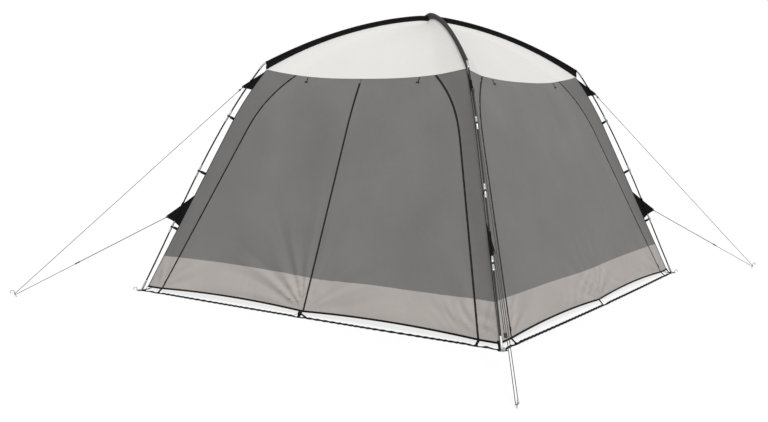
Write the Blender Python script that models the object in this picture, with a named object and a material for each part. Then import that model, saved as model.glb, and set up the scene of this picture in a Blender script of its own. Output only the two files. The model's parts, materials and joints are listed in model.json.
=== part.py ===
# Beach shelter: two crossed poles carry a clipped-on canopy whose doors lift up, held by guylines and pegs.
# Metres, +Z up, origin on the ground in the middle of the four pole feet. The front faces -Y.
import math

import bmesh
import bpy
from mathutils import Matrix, Vector

# Ground plan and heights
FOOT_SPAN = 3.0  # between neighbouring pole feet
SHOULDER_SPAN = 1.728  # between neighbouring pole bends
SHOULDER_HEIGHT = 1.645
APEX_HEIGHT = 2.029  # middle of the lower pole where the two cross
FOOT_LEAN = 27.0  # degrees from upright, at the foot
SHOULDER_LEAN = 37.3  # degrees from upright, just below the bend
PEAK_SLOPE = 0.09  # how pointed the arch is at the crossing
PEAK_ROUNDING = 0.08

# Poles
POLE_DIAMETER = 0.011
LOWER_SECTION = 0.518  # foot to the first joint
LEG_JOINTS = 3
ARCH_SECTIONS = 6
FERRULE_LENGTH = 0.090
FERRULE_DIAMETER = 0.014
STRAIGHT = 0.052  # a pole runs straight this far either side of a joint
ELBOW_ARM = 0.045
ELBOW_BEND = 0.012
FOOT_CAP_LENGTH = 0.120
FOOT_CAP_DIAMETER = 0.0155
FOOT_CAP_FLOOR = 0.020  # solid steel below the pole's end
FOOT_CAP_LIP = 0.006

# Canopy
CLOTH = 0.002  # stands for a layer of cloth with its coating and seams
CANOPY_INSET = 0.038  # corner seam inside the pole, along each wall
CANOPY_FOOT_INSET = 0.025
WALL_TURN_HEIGHT = 1.20  # above this the walls turn in with the poles
WALL_DRAW = 0.032  # how much more the doors lean in than the corner seams do
ROOF_CORNER_HEIGHT = 1.607
SEAM_MIDDLE_HEIGHT = 1.541  # roof seam in the middle of a wall
SEAM_POWER = 2.6
ROOF_TAUTNESS = 1.8  # how far the ridges lift the middle of a roof panel
ROOF_COLUMNS = 8
ROOF_TOP_GAP = 0.004  # from the middle to a roof panel's top, under the sleeves
SLEEVE_DIAMETER = 0.018
SLEEVE_BORE = 0.0160
SLEEVE_DROP = 0.028  # from the pole's middle down to the roof
CROSSING_REACH = 0.25  # how far from the middle the roof dips to pass under both sleeves
SLEEVE_HEM = 0.006  # width of a sleeve where it is sewn down
SLEEVE_MOUTH = 0.018  # from the pole's bend to the end of the sleeve
SKIRT_HEIGHT = 0.250
HEM_HEIGHT = 0.024  # lower edge where it is strapped down
HEM_RISE = 0.018  # how far it rises between the straps
HEM_BAND = 0.012

# Doors
ZIP_INSET = 0.135  # side zip, from the corner seam
ZIP_TURN_HEIGHT = 1.10  # above this the side zips curve inward
ZIP_TOP_HEIGHT = 1.565
ZIP_TURN_IN = 0.125
ZIP_WIDTH = 0.014
ZIP_THICKNESS = 0.003
ZIP_ROWS = (1.10, 1.20, 1.27, 1.33, 1.38, 1.43, 1.47)  # heights at which a side zip bends
CORNER_ROWS = (1.50, 1.56)  # further heights at which a corner seam bends
LEAF_ROW = 0.68
EDGING_ROW = 0.35
HINGE_HEIGHT = 1.508
DOOR_GAP = 0.002  # between a door and the cloth beside it
HINGE_GAP_UP = 0.0006
HINGE_GAP_DOWN = 0.0009
SLIDER_HEIGHT = 0.085
SLIDER_WIDTH = 0.010
SLIDER_LENGTH = 0.018
SLIDER_DEPTH = 0.004
PULL_LENGTH = 0.026
PULL_WIDTH = 0.006
PULL_THICKNESS = 0.0016

# Corner seams: their ribs, hooks, tabs and gussets
RIB_DEPTH = 0.004
RIB_WIDTH = 0.003
RIB_LOW = 0.030
RIB_TOP_GAP = 0.005  # below the roof's corner
HOOK_WALL = 0.003
HOOK_WIDTH = 0.013
HOOK_SHANK = 0.024  # from the pole's middle
HOOK_SHANK_THICKNESS = 0.004
HOOK_OPENING = 70.0  # degrees
TAB_WIDTH = 0.020
TUNNEL_BORE = 0.0130
TUNNEL_WALL = 0.0016
MID_GUSSET = {
    "top": 0.695,
    "bottom": 0.469,
    "tip": 0.533,
    "reach": 0.070,
    "hollow": 0.008,
    "tunnel": (0.512, 0.640),
}
UPPER_GUSSET = {
    "top": 1.592,
    "bottom": 1.461,
    "tip": 1.473,
    "reach": 0.030,
    "hollow": 0.002,
    "tunnel": (1.470, 1.530),
}
GUSSET_NOSE = 0.011  # height of a gusset's blunt tip
GUSSET_CUT = (-0.004, 0.014)  # the cut corner above it
EYE_DIAMETER = 0.0066
EYE_IN = 0.0062  # eye's middle, back from the gusset's tip

# Ground fixings
WEB_WIDTH = 0.020
WEB_THICKNESS = 0.002
WEB_CORNER_WIDTH = 0.036
GROUND_WEB_BOW = 0.020
FOOT_STRAP_WIDTH = 0.030
FOOT_STRAP_REACH = 0.042
FOOT_STRAP_TOP = 0.044
HEM_STRAP_WIDTH = 0.015
HEM_STRAP_OFFSET = 0.010  # from the side zip towards the corner
PEG_DIAMETER = 0.006
PEG_STAND = 0.044
PEG_HOOK_RADIUS = 0.011
PEG_TAIL = 0.006
PEG_LEAN = 18.0
CORNER_PEG_STAND = 0.016
CORNER_PEG_OFFSET = 0.030  # beyond the pole foot, clear of the web's corner

# Guylines: each peg's distance from the middle along the diagonal, and to the side of it
LONG_PEG = (3.105, -0.219)
SHORT_PEG = (2.937, 0.087)
LINE_DIAMETER = 0.004
LINE_TAIL = 0.030
LINE_HIGH = 0.027  # where the lines hold the peg
LINE_LOW = 0.016
STRAND_SPACING = 0.010
RUNNER_PLACE = 0.60  # share of the lower guyline, from the gusset
RUNNER_LENGTH = 0.034
RUNNER_WIDTH = 0.020
RUNNER_DEPTH = 0.008
RUNNER_BORE = 0.0056

# Toggle ties under the roof seam, from the middle of each wall
TOGGLE_PLACES = (-0.475, 0.475)
TOGGLE_DROP = 0.036
TOGGLE_LENGTH = 0.026
TOGGLE_DIAMETER = 0.008
TIE_WIDTH = 0.007
TIE_THICKNESS = 0.0015

TOUCH = 0.0003  # gap between two pieces that touch
OVERLAP = 0.0005  # how deep a fused piece reaches into what carries it
ROOT2 = math.sqrt(2)

# Corners and sides, with the turn of each about the upright axis in degrees
CORNERS = {"front_left": 225, "front_right": 315, "back_right": 45, "back_left": 135}
SIDES = {"front": 0, "right": 90, "back": 180, "left": 270}
LOWER_POLE = ("front_left", "back_right")
UPPER_POLE = ("front_right", "back_left")

for old in list(bpy.data.objects):
    bpy.data.objects.remove(old)


def material(name, color, roughness, metallic=0.0):
    mat = bpy.data.materials.new(name)
    mat.use_nodes = True
    shader = mat.node_tree.nodes["Principled BSDF"]
    shader.inputs["Base Color"].default_value = (*color, 1)
    shader.inputs["Roughness"].default_value = roughness
    shader.inputs["Metallic"].default_value = metallic
    return mat


ROOF_CLOTH = material("roof_cloth", (0.80, 0.79, 0.78), 0.7)
WALL_CLOTH = material("wall_cloth", (0.23, 0.23, 0.22), 0.8)
SLEEVE_CLOTH = material("sleeve_cloth", (0.03, 0.03, 0.03), 0.8)
BLACK_WEBBING = material("black_webbing", (0.02, 0.02, 0.02), 0.8)
FIBREGLASS = material("fibreglass", (0.05, 0.05, 0.05), 0.35)
STEEL = material("steel", (0.65, 0.66, 0.67), 0.3, 1.0)
BLACK_PLASTIC = material("black_plastic", (0.02, 0.02, 0.02), 0.45)
LINE_CORD = material("line_cord", (0.60, 0.60, 0.58), 0.8)


def turned(degrees):
    return Matrix.Rotation(math.radians(degrees), 4, "Z")


CORNER_FRAMES = {name: turned(angle) for name, angle in CORNERS.items()}
SIDE_FRAMES = {name: turned(angle) for name, angle in SIDES.items()}
SIDEWAYS = Vector((0, 1, 0))
UPWARD = Vector((0, 0, 1))


# Pole shape, as (distance from the middle, height) in the upright plane of a diagonal

FOOT = Vector((FOOT_SPAN / ROOT2, 0))
SHOULDER = Vector((SHOULDER_SPAN / ROOT2, SHOULDER_HEIGHT))
LOWER_APEX = APEX_HEIGHT
UPPER_APEX = APEX_HEIGHT + SLEEVE_DIAMETER + 2 * TOUCH


def in_plane(point, side=0.0):
    # a point of the diagonal's plane in space, where x runs out along the diagonal
    return Vector((point[0], side, point[1]))


def leg_at(t):
    reach = (SHOULDER - FOOT).length
    low, high = math.radians(FOOT_LEAN), math.radians(SHOULDER_LEAN)
    out = Vector((-math.sin(low), math.cos(low))) * reach
    into = Vector((-math.sin(high), math.cos(high))) * reach
    return (
        FOOT * (2 * t**3 - 3 * t**2 + 1)
        + out * (t**3 - 2 * t**2 + t)
        + SHOULDER * (3 * t**2 - 2 * t**3)
        + into * (t**3 - t**2)
    )


def arch_height(r, apex):
    # height of an arch's middle line; its top is flat where the two poles cross
    def peak(x):
        return PEAK_SLOPE * (math.hypot(x, PEAK_ROUNDING) - PEAK_ROUNDING)

    fall = (apex - SHOULDER_HEIGHT - peak(SHOULDER.x)) / SHOULDER.x**2
    x = max(abs(r), STRAIGHT)
    return apex - peak(x) - fall * x**2


def by_length(points):
    # a function from the length along a line of points to the point there, and the whole length
    reached = [0.0]
    for a, b in zip(points, points[1:]):
        reached.append(reached[-1] + (b - a).length)

    def at(s):
        i = next((i for i in range(1, len(points)) if s <= reached[i]), len(points) - 1)
        return points[i - 1].lerp(points[i], (s - reached[i - 1]) / (reached[i] - reached[i - 1]))

    return at, reached[-1]


leg, LEG_LENGTH = by_length([leg_at(i / 200) for i in range(201)])
LEG_STEP = (LEG_LENGTH - LOWER_SECTION) / LEG_JOINTS
LEG_PLACES = [LOWER_SECTION + LEG_STEP * i for i in range(LEG_JOINTS)]


def leg_length_at(height):
    # length along the leg at which it has that height
    low, high = 0.0, LEG_LENGTH
    for _ in range(40):
        middle = (low + high) / 2
        low, high = (middle, high) if leg(middle).y < height else (low, middle)
    return low


def leg_reach(height):
    # half the distance between the two legs of a wall at that height
    return leg(leg_length_at(height)).x / ROOT2


def straight_runs():
    # where the leg runs straight: round each joint and through both gussets
    margin = 0.02
    runs = [[s - STRAIGHT, s + STRAIGHT] for s in LEG_PLACES]
    for gusset in (MID_GUSSET, UPPER_GUSSET):
        low, high = (leg_length_at(z) for z in gusset["tunnel"])
        runs.append([low - margin, high + margin])
    runs.sort()
    merged = [runs[0]]
    for low, high in runs[1:]:
        if low < merged[-1][1] + margin:
            merged[-1][1] = max(high, merged[-1][1])
        else:
            merged.append([low, high])
    return merged


RUNS = straight_runs()


def on_leg(s):
    # the leg's middle line with its straight runs
    for low, high in RUNS:
        if low <= s <= high:
            return leg(low).lerp(leg(high), (s - low) / (high - low))
    return leg(s)


def leg_way(s):
    return (on_leg(s + 0.005) - on_leg(s - 0.005)).normalized()


FOOT_WAY = (leg(FOOT_CAP_LENGTH) - leg(0)).normalized()


def arch_stations(apex):
    # the bends of an arch's middle line from the shoulder to the crossing; joints lie between pairs of them
    curve, length = by_length([Vector((SHOULDER.x * (1 - i / 200), 0)) for i in range(201)])
    full = [Vector((p.x, arch_height(p.x, apex))) for p in (curve(length * i / 200) for i in range(201))]
    curve, length = by_length(full)
    step = length * 2 / ARCH_SECTIONS
    stations = [curve(STRAIGHT)]
    joints = []
    last = STRAIGHT
    place = step
    while place < length - STRAIGHT:
        low, high = curve(place - STRAIGHT), curve(place + STRAIGHT)
        stations += [curve((last + place - STRAIGHT) / 2), low, high]
        joints.append(((low + high) / 2, (high - low).normalized()))
        last = place + STRAIGHT
        place += step
    top = Vector((STRAIGHT, arch_height(STRAIGHT, apex)))
    return [*stations, curve((last + length - STRAIGHT) / 2), top], joints


# Solids are drawn into a bmesh


def add_rings(bm, rings, loop=False):
    # bridges rings of points one after another, with caps unless the last meets the first
    rows = [[bm.verts.new(p) for p in ring] for ring in rings]
    pairs = list(zip(rows, rows[1:]))
    if loop:
        pairs.append((rows[-1], rows[0]))
    for low, high in pairs:
        for i in range(len(low)):
            j = (i + 1) % len(low)
            bm.faces.new((low[i], low[j], high[j], high[i]))
    if not loop:
        bm.faces.new(rows[0])
        bm.faces.new(rows[-1])


def add_sheet(bm, outer, inner):
    # a thin closed solid between two grids of points of the same shape
    tops = [[bm.verts.new(p) for p in row] for row in outer]
    unders = [[bm.verts.new(p) for p in row] for row in inner]
    rows, columns = len(tops), len(tops[0])
    for grid in (tops, unders):
        for i in range(rows - 1):
            for j in range(columns - 1):
                bm.faces.new((grid[i][j], grid[i][j + 1], grid[i + 1][j + 1], grid[i + 1][j]))
    rim = [(0, j) for j in range(columns - 1)]
    rim += [(i, columns - 1) for i in range(rows - 1)]
    rim += [(rows - 1, j) for j in range(columns - 1, 0, -1)]
    rim += [(i, 0) for i in range(rows - 1, 0, -1)]
    for (a, b), (c, d) in zip(rim, rim[1:] + rim[:1]):
        bm.faces.new((tops[a][b], tops[c][d], unders[c][d], unders[a][b]))


def ways_along(line):
    # the direction of a line of points at each of them, halfway between its two stretches
    steps = [(b - a).normalized() for a, b in zip(line, line[1:])]
    return [(a + b).normalized() for a, b in zip([steps[0], *steps], [*steps, steps[-1]])]


def circle(middle, along, radius, sides, square_to=UPWARD):
    side = along.cross(square_to).normalized()
    up = side.cross(along).normalized()
    turns = [2 * math.pi * i / sides for i in range(sides)]
    return [middle + side * radius * math.cos(a) + up * radius * math.sin(a) for a in turns]


def add_tube(bm, line, radius, sides, bore=None):
    # a round bar along a line of points, or a tube if it has a bore
    ways = ways_along(line)
    outer = [circle(p, way, radius, sides) for p, way in zip(line, ways)]
    if bore is None:
        add_rings(bm, outer)
        return
    inner = [circle(p, way, bore, sides) for p, way in zip(line, ways)]
    add_rings(bm, outer + inner[::-1], loop=True)


def add_stepped_bar(bm, stations, sides):
    # a round bar through (point, radius) stations in space; two at one point make a step
    points = [p for i, (p, r) in enumerate(stations) if i == 0 or (p - stations[i - 1][0]).length > 1e-6]
    ways = dict(zip([tuple(p) for p in points], ways_along(points)))
    rings = []
    for p, radius in stations:
        key = min(ways, key=lambda k: (Vector(k) - p).length)
        rings.append(circle(p, ways[key], radius, sides))
    add_rings(bm, rings)


def add_strap(bm, line, across, width, thickness):
    # a flat strap along a line of points, its width in one fixed direction
    steps = [(b - a).normalized() for a, b in zip(line, line[1:])]
    half = across * width / 2
    rings = []
    for i, (p, way) in enumerate(zip(line, ways_along(line))):
        lift = way.cross(across).normalized() * (thickness / 2 / way.dot(steps[min(i, len(steps) - 1)]))
        rings.append([p - half - lift, p + half - lift, p + half + lift, p - half + lift])
    add_rings(bm, rings)


def add_plate(bm, outline, across, thickness):
    half = across * thickness / 2
    add_rings(bm, [[p - half for p in outline], [p + half for p in outline]])


def finish_mesh(bm, name, smooth):
    bmesh.ops.recalc_face_normals(bm, faces=bm.faces)
    mesh = bpy.data.meshes.new(name)
    bm.to_mesh(mesh)
    bm.free()
    if smooth:
        shade_round(mesh)
    return mesh


def shade_round(mesh):
    mesh.shade_smooth()
    mesh.set_sharp_from_angle(angle=math.radians(40))


def drawn(name, draw, frame=None, smooth=False):
    bm = bmesh.new()
    draw(bm)
    if frame is not None:
        bm.transform(frame)
    return finish_mesh(bm, name, smooth)


def copies(name, mesh, frames):
    # one mesh with the shape repeated in several frames
    bm = bmesh.new()
    for frame in frames:
        copy = mesh.copy()
        copy.transform(frame)
        bm.from_mesh(copy)
        bpy.data.meshes.remove(copy)
    return finish_mesh(bm, name, False)


def combined(name, mesh, tools, smooth=False):
    # the mesh after each tool shape is joined to it or cut from it
    work = bpy.data.objects.new(name + "_work", mesh)
    bpy.context.scene.collection.objects.link(work)
    helpers = []
    for operation, shape in tools:
        helper = bpy.data.objects.new(name + "_tool", shape)
        bpy.context.scene.collection.objects.link(helper)
        helper.hide_render = True
        helper.display_type = "WIRE"
        change = work.modifiers.new(operation.lower(), "BOOLEAN")
        change.operation = operation
        change.solver = "EXACT"
        change.object = helper
        helpers.append(helper)
    bpy.context.view_layer.update()
    result = bpy.data.meshes.new_from_object(work.evaluated_get(bpy.context.evaluated_depsgraph_get()))
    result.name = name
    for obj in [work, *helpers]:
        bpy.data.objects.remove(obj)
    if smooth:
        shade_round(result)
    return result


def place(name, mesh, mat, parent=None, at=None):
    obj = bpy.data.objects.new(name, mesh)
    bpy.context.scene.collection.objects.link(obj)
    mesh.materials.clear()
    mesh.materials.append(mat)
    obj.parent = parent
    if at is not None:
        obj.matrix_local = at
    return obj


def empty(name, at):
    obj = bpy.data.objects.new(name, None)
    bpy.context.scene.collection.objects.link(obj)
    obj.matrix_local = at
    return obj


# Legs and arches: pole sections with their steel ferrules

def with_ferrule(middle, way):
    # the steps of a bar where a ferrule covers a joint
    low, high = middle - way * FERRULE_LENGTH / 2, middle + way * FERRULE_LENGTH / 2
    thin, thick = POLE_DIAMETER / 2, FERRULE_DIAMETER / 2
    return [(low, thin), (low, thick), (high, thick), (high, thin)]


def draw_leg(bm):
    thin = POLE_DIAMETER / 2
    ends = (FOOT_CAP_LENGTH, LEG_LENGTH - STRAIGHT)
    joints = {s: with_ferrule(on_leg(s), leg_way(s)) for s in LEG_PLACES}
    places = sorted({ends[0], ends[1], *(s for run in RUNS for s in run)})
    gaps = [(a + b) / 2 for a, b in zip(places, places[1:]) if b - a > 0.2 and (a, b) != tuple(RUNS[0])]
    entries = [(s, [(on_leg(s), thin)]) for s in places + gaps] + list(joints.items())
    start = FOOT + FOOT_WAY * (FOOT_CAP_FLOOR + TOUCH)
    finish = SHOULDER - (SHOULDER - leg(ends[1])).normalized() * (ELBOW_BEND + 0.002)
    stations = [(start, thin)]
    for _, entry in sorted(entries, key=lambda e: e[0]):
        stations += entry
    stations.append((finish, thin))
    add_stepped_bar(bm, [(in_plane(p), r) for p, r in stations], 8)


def draw_arch(apex):
    def draw(bm):
        thin = POLE_DIAMETER / 2
        stations, joints = arch_stations(apex)
        start = SHOULDER + (stations[0] - SHOULDER).normalized() * (ELBOW_BEND + 0.002)
        half = [(start, thin)] + [(p, thin) for p in stations]
        for middle, way in joints:
            half += with_ferrule(middle, way)
        half.sort(key=lambda e: -e[0].x)
        top = half[-1][0].y
        reach = FERRULE_LENGTH / 2
        half += [(Vector((reach, top)), thin), (Vector((reach, top)), FERRULE_DIAMETER / 2)]
        line = half + [(Vector((-p.x, p.y)), r) for p, r in reversed(half)]
        add_stepped_bar(bm, [(in_plane(p), r) for p, r in line], 8)

    return draw


def draw_elbow(apex):
    def draw(bm):
        down = (leg(LEG_LENGTH - STRAIGHT) - SHOULDER).normalized()
        up = (arch_stations(apex)[0][0] - SHOULDER).normalized()
        low, high = SHOULDER + down * ELBOW_BEND, SHOULDER + up * ELBOW_BEND
        bend = (low + high + SHOULDER * 2) / 4
        line = [SHOULDER + down * ELBOW_ARM, low, bend, high, SHOULDER + up * ELBOW_ARM]
        add_tube(bm, [in_plane(p) for p in line], FERRULE_DIAMETER / 2, 8, POLE_DIAMETER / 2 + TOUCH)

    return draw


def draw_foot_cap(bm):
    way, foot = in_plane(FOOT_WAY), in_plane(FOOT)
    top, neck = foot + way * FOOT_CAP_LENGTH, foot + way * (FOOT_CAP_LENGTH - FOOT_CAP_LIP)
    radius, bore = FOOT_CAP_DIAMETER / 2, POLE_DIAMETER / 2 + 2 * TOUCH
    sole = [p - way * (p.z / way.z) for p in circle(foot, way, radius, 10)]
    rings = [sole, circle(neck, way, radius, 10), circle(top, way, (radius + bore) / 2, 10)]
    rings += [circle(top, way, bore, 10), circle(foot + way * FOOT_CAP_FLOOR, way, bore, 10)]
    add_rings(bm, rings)


leg_mesh = drawn("leg_pole", draw_leg, smooth=True)
foot_mesh = drawn("pole_foot", draw_foot_cap, smooth=True)
for poles, apex, name in ((LOWER_POLE, LOWER_APEX, "arch_pole_a"), (UPPER_POLE, UPPER_APEX, "arch_pole_b")):
    arch_mesh = drawn(name, draw_arch(apex), smooth=True)
    place(name, arch_mesh, FIBREGLASS, at=CORNER_FRAMES[poles[0]])
    elbow_mesh = drawn("elbow_" + name[-1], draw_elbow(apex), smooth=True)
    for corner in poles:
        place("leg_pole_" + corner, leg_mesh, FIBREGLASS, at=CORNER_FRAMES[corner])
        place("shoulder_elbow_" + corner, elbow_mesh, STEEL, at=CORNER_FRAMES[corner])
        place("pole_foot_" + corner, foot_mesh, STEEL, at=CORNER_FRAMES[corner])


# Walls, in the frame of the front wall: x runs along it and outward is -y

WALL_FOOT = FOOT_SPAN / 2 - CANOPY_FOOT_INSET
WALL_SLOPE = (WALL_FOOT - (leg_reach(WALL_TURN_HEIGHT) - CANOPY_INSET)) / WALL_TURN_HEIGHT
WALL_TOP = leg_reach(ROOF_CORNER_HEIGHT) - CANOPY_INSET
TURN_RISE = ROOF_CORNER_HEIGHT - WALL_TURN_HEIGHT
WALL_TURN = (WALL_FOOT - WALL_SLOPE * ROOF_CORNER_HEIGHT - WALL_TOP) / TURN_RISE**2
DOOR_SLOPE = WALL_SLOPE + WALL_DRAW


def wall_half(z):
    # half the width of a wall, which is also how far its corner seams stand from the middle
    return WALL_FOOT - WALL_SLOPE * z - WALL_TURN * max(0, z - WALL_TURN_HEIGHT) ** 2


def zip_half(z):
    turn = max(0, z - ZIP_TURN_HEIGHT) / (ZIP_TOP_HEIGHT - ZIP_TURN_HEIGHT)
    return wall_half(z) - ZIP_INSET - ZIP_TURN_IN * turn**3


def wall_at(x, z):
    # how far a wall stands from the middle: drawn in across its doors, and less towards the corner seams
    edge = zip_half(z) + DOOR_GAP
    out = max(0, min(1, (abs(x) - edge) / (wall_half(z) - edge)))
    return wall_half(z) - WALL_DRAW * z * (1 - out)


def zip_across(z):
    # width of the zip along x, where the zip leans
    slope = (zip_half(z + 0.001) - zip_half(z - 0.001)) / 0.002
    return ZIP_WIDTH * math.hypot(1, slope)


def seam_reach(z):
    # outermost line of a corner seam, from the middle along the diagonal
    return (wall_half(z) + CLOTH / 2) * ROOT2


ROOF_CORNER = wall_half(ROOF_CORNER_HEIGHT) + CLOTH / 2
SEAM_RISE = ROOF_CORNER_HEIGHT - SEAM_MIDDLE_HEIGHT
DOOR_TOP = HINGE_HEIGHT - HINGE_GAP_DOWN
HEADER_LOW = HINGE_HEIGHT + HINGE_GAP_UP


def seam_height(x):
    return SEAM_MIDDLE_HEIGHT + SEAM_RISE * min(1, abs(x) / ROOF_CORNER) ** SEAM_POWER


def seam_edge(x):
    # how far the roof seam stands from the middle
    return wall_at(x, seam_height(x)) + CLOTH / 2


def hem_low(x):
    # lower edge of a door, strapped down in the middle and at the side zips
    share = min(1, abs(x) / zip_half(HEM_HEIGHT))
    return HEM_HEIGHT + HEM_RISE * (1 - (2 * share - 1) ** 2)


def on_wall(x, z, out):
    return Vector((x, -(wall_at(x, z) + out), z))


def surround_stations(side):
    # (outer, inner) points on one face of the cloth round a door, from the left foot to the middle of
    # the top; side is 1 for the outer face and -1 for the inner
    out = side * CLOTH / 2

    def corner(z):
        reach = wall_half(z) + out
        return Vector((TOUCH - reach, -reach, z))

    def zip_edge(z):
        return on_wall(-(zip_half(z) + DOOR_GAP), z, out)

    rows = (HEM_HEIGHT, HEM_HEIGHT + HEM_BAND, SKIRT_HEIGHT, *ZIP_ROWS[:-1])
    stations = [(corner(z), zip_edge(z)) for z in rows]
    stations.append((corner(CORNER_ROWS[0]), zip_edge(ZIP_ROWS[-1])))
    stations.append((corner(CORNER_ROWS[1]), zip_edge(HEADER_LOW)))
    top = corner(ROOF_CORNER_HEIGHT)
    top.z -= TOUCH
    opening = zip_half(HEADER_LOW) + DOOR_GAP
    stations.append((top, on_wall(-opening * 0.97, HEADER_LOW, out)))
    for i in range(1, ROOF_COLUMNS // 2 + 1):
        x = -ROOF_CORNER * (1 - 2 * i / ROOF_COLUMNS)
        inner = x if abs(x) < opening * 0.9 else -opening * 0.92
        stations.append((on_wall(x, seam_height(x) - TOUCH, out), on_wall(inner, HEADER_LOW, out)))
    return stations


def draw_surround(bm):
    faces = []
    for side in (1, -1):
        half = surround_stations(side)
        other = [tuple(Vector((-p.x, p.y, p.z)) for p in pair) for pair in reversed(half[:-1])]
        faces.append([list(pair) for pair in half + other])
    add_sheet(bm, *faces)


def draw_ties(bm):
    for x in TOGGLE_PLACES:
        top = seam_height(x) - 0.003
        out = CLOTH / 2 + TOUCH + TIE_THICKNESS / 2
        heights = (top - 0.006, top - TOGGLE_DROP / 2, top - TOGGLE_DROP)
        line = [on_wall(x, top, 0), *(on_wall(x, z, out) for z in heights)]
        add_strap(bm, line, Vector((1, 0, 0)), TIE_WIDTH, TIE_THICKNESS)


def draw_toggles(bm):
    for x in TOGGLE_PLACES:
        z = seam_height(x) - 0.003 - TOGGLE_DROP + TOGGLE_DIAMETER / 2
        out = CLOTH / 2 + TOUCH + TIE_THICKNESS + TOGGLE_DIAMETER / 2 - OVERLAP
        bar, half = on_wall(x, z, out), Vector((TOGGLE_LENGTH / 2, 0, 0))
        add_tube(bm, [bar - half, bar + half], TOGGLE_DIAMETER / 2, 6)


ties, toggles = drawn("ties", draw_ties), drawn("toggles", draw_toggles)
surround_mesh = combined("surround", drawn("cloth", draw_surround), [("UNION", ties), ("UNION", toggles)])
for side, frame in SIDE_FRAMES.items():
    place("wall_surround_" + side, surround_mesh, WALL_CLOTH, at=frame)


# Roof panels

def ridge_height(u, apex):
    # under face of the roof along a diagonal, at (u, u), below the pole with that apex
    end = arch_height(ROOF_CORNER * ROOT2, apex) - ROOF_CORNER_HEIGHT - CLOTH
    drop = SLEEVE_DROP + (end - SLEEVE_DROP) * (u / ROOF_CORNER) ** 4
    dip = (apex - LOWER_APEX) * max(0, 1 - u / CROSSING_REACH) ** 2
    return arch_height(u * ROOT2, apex) - drop - dip - CLOTH


def roof_point(u, w, lift, apexes):
    # u is how far the row's ends are from the middle, and w runs across it from -1 to 1, between two poles
    share = u / ROOF_CORNER
    bend = abs(w) ** SEAM_POWER
    ridges = [ridge_height(u, apex) for apex in apexes]
    straight = SEAM_MIDDLE_HEIGHT + (ridge_height(0, LOWER_APEX) - SEAM_MIDDLE_HEIGHT) * (1 - share)
    middle = straight + ROOF_TAUTNESS * share * (1 - share) * (sum(ridges) / 2 - straight)
    height = middle + (ridges[w > 0] - middle) * bend + lift
    return Vector((w * (u - TOUCH / 2), -share * seam_edge(w * ROOF_CORNER), height))


def draw_roof(apexes):
    def draw(bm):
        inner = [p.x / ROOT2 for p in arch_stations(LOWER_APEX)[0]]
        rows = [ROOF_CORNER, *(u for u in inner if u < ROOF_CORNER - 0.005), ROOF_TOP_GAP]
        columns = [2 * i / ROOF_COLUMNS - 1 for i in range(ROOF_COLUMNS + 1)]
        faces = ([[roof_point(u, w, lift, apexes) for w in columns] for u in rows] for lift in (CLOTH, 0))
        add_sheet(bm, *faces)

    return draw


# Front and back have the lower pole on their left, and the two sides have it on their right
ROOFS = {("front", "back"): (LOWER_APEX, UPPER_APEX), ("right", "left"): (UPPER_APEX, LOWER_APEX)}
for sides, apexes in ROOFS.items():
    roof_mesh = drawn("roof_" + sides[0], draw_roof(apexes))
    for side in sides:
        place("roof_" + side, roof_mesh, ROOF_CLOTH, at=SIDE_FRAMES[side])


# Sleeves, sewn on the roof along its diagonals

def sleeve_ring(middle, up, radius, bottom=None):
    # a round ring, or a drop-shaped one that reaches down to where the sleeve is sewn on
    ring = []
    for i in range(8):
        a = math.radians(247.5 + 45 * i)
        if bottom is not None and i < 2:
            ring.append(bottom + SIDEWAYS * math.copysign(SLEEVE_HEM / 2, math.cos(a)))
        else:
            ring.append(middle + SIDEWAYS * radius * math.cos(a) + up * radius * math.sin(a))
    return ring


def draw_sleeve(apex):
    def draw(bm):
        stations = arch_stations(apex)[0]
        mouth = SHOULDER + (stations[0] - SHOULDER).normalized() * SLEEVE_MOUTH
        side = SLEEVE_DIAMETER / 2 + 0.007
        half = [mouth, *stations, Vector((side, stations[-1].y)), Vector((0, stations[-1].y))]
        line = half + [Vector((-p.x, p.y)) for p in reversed(half[:-1])]
        outer, inner = [], []
        for p, way in zip(line, ways_along([in_plane(p) for p in line])):
            up = SIDEWAYS.cross(way)
            up = up if up.z > 0 else -up
            crossing = apex == UPPER_APEX and abs(p.x) < side + TOUCH
            ridge = ridge_height(abs(p.x) / ROOT2, apex)
            low = p.y - SLEEVE_DIAMETER / 2 if crossing else ridge + CLOTH + TOUCH
            outer.append(sleeve_ring(in_plane(p), up, SLEEVE_DIAMETER / 2, in_plane((p.x, low))))
            inner.append(sleeve_ring(in_plane(p), up, SLEEVE_BORE / 2))
        add_rings(bm, outer + inner[::-1], loop=True)

    return draw


for poles, apex, name in ((LOWER_POLE, LOWER_APEX, "sleeve_a"), (UPPER_POLE, UPPER_APEX, "sleeve_b")):
    sleeve_mesh = drawn(name, draw_sleeve(apex), smooth=True)
    place(name, sleeve_mesh, SLEEVE_CLOTH, at=CORNER_FRAMES[poles[0]])


# Corner bindings: the rib along a corner seam with its hooks, gussets, foot strap and peg

def gusset_tip(gusset):
    return Vector((leg(leg_length_at(gusset["tip"])).x + gusset["reach"], gusset["tip"]))


def gusset_eye(gusset):
    return gusset_tip(gusset) + Vector((-EYE_IN, EYE_IN * 0.8))


def draw_rib(bm):
    heights = (RIB_LOW, *ZIP_ROWS[1:-1], *CORNER_ROWS, ROOF_CORNER_HEIGHT - RIB_TOP_GAP)
    rings = []
    for z in heights:
        near, far = seam_reach(z) + TOUCH, seam_reach(z) + TOUCH + RIB_DEPTH
        half = RIB_WIDTH / 2
        rings.append([Vector((x, y, z)) for x, y in ((near, -half), (far, -half), (far, half), (near, half))])
    add_rings(bm, rings)


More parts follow.
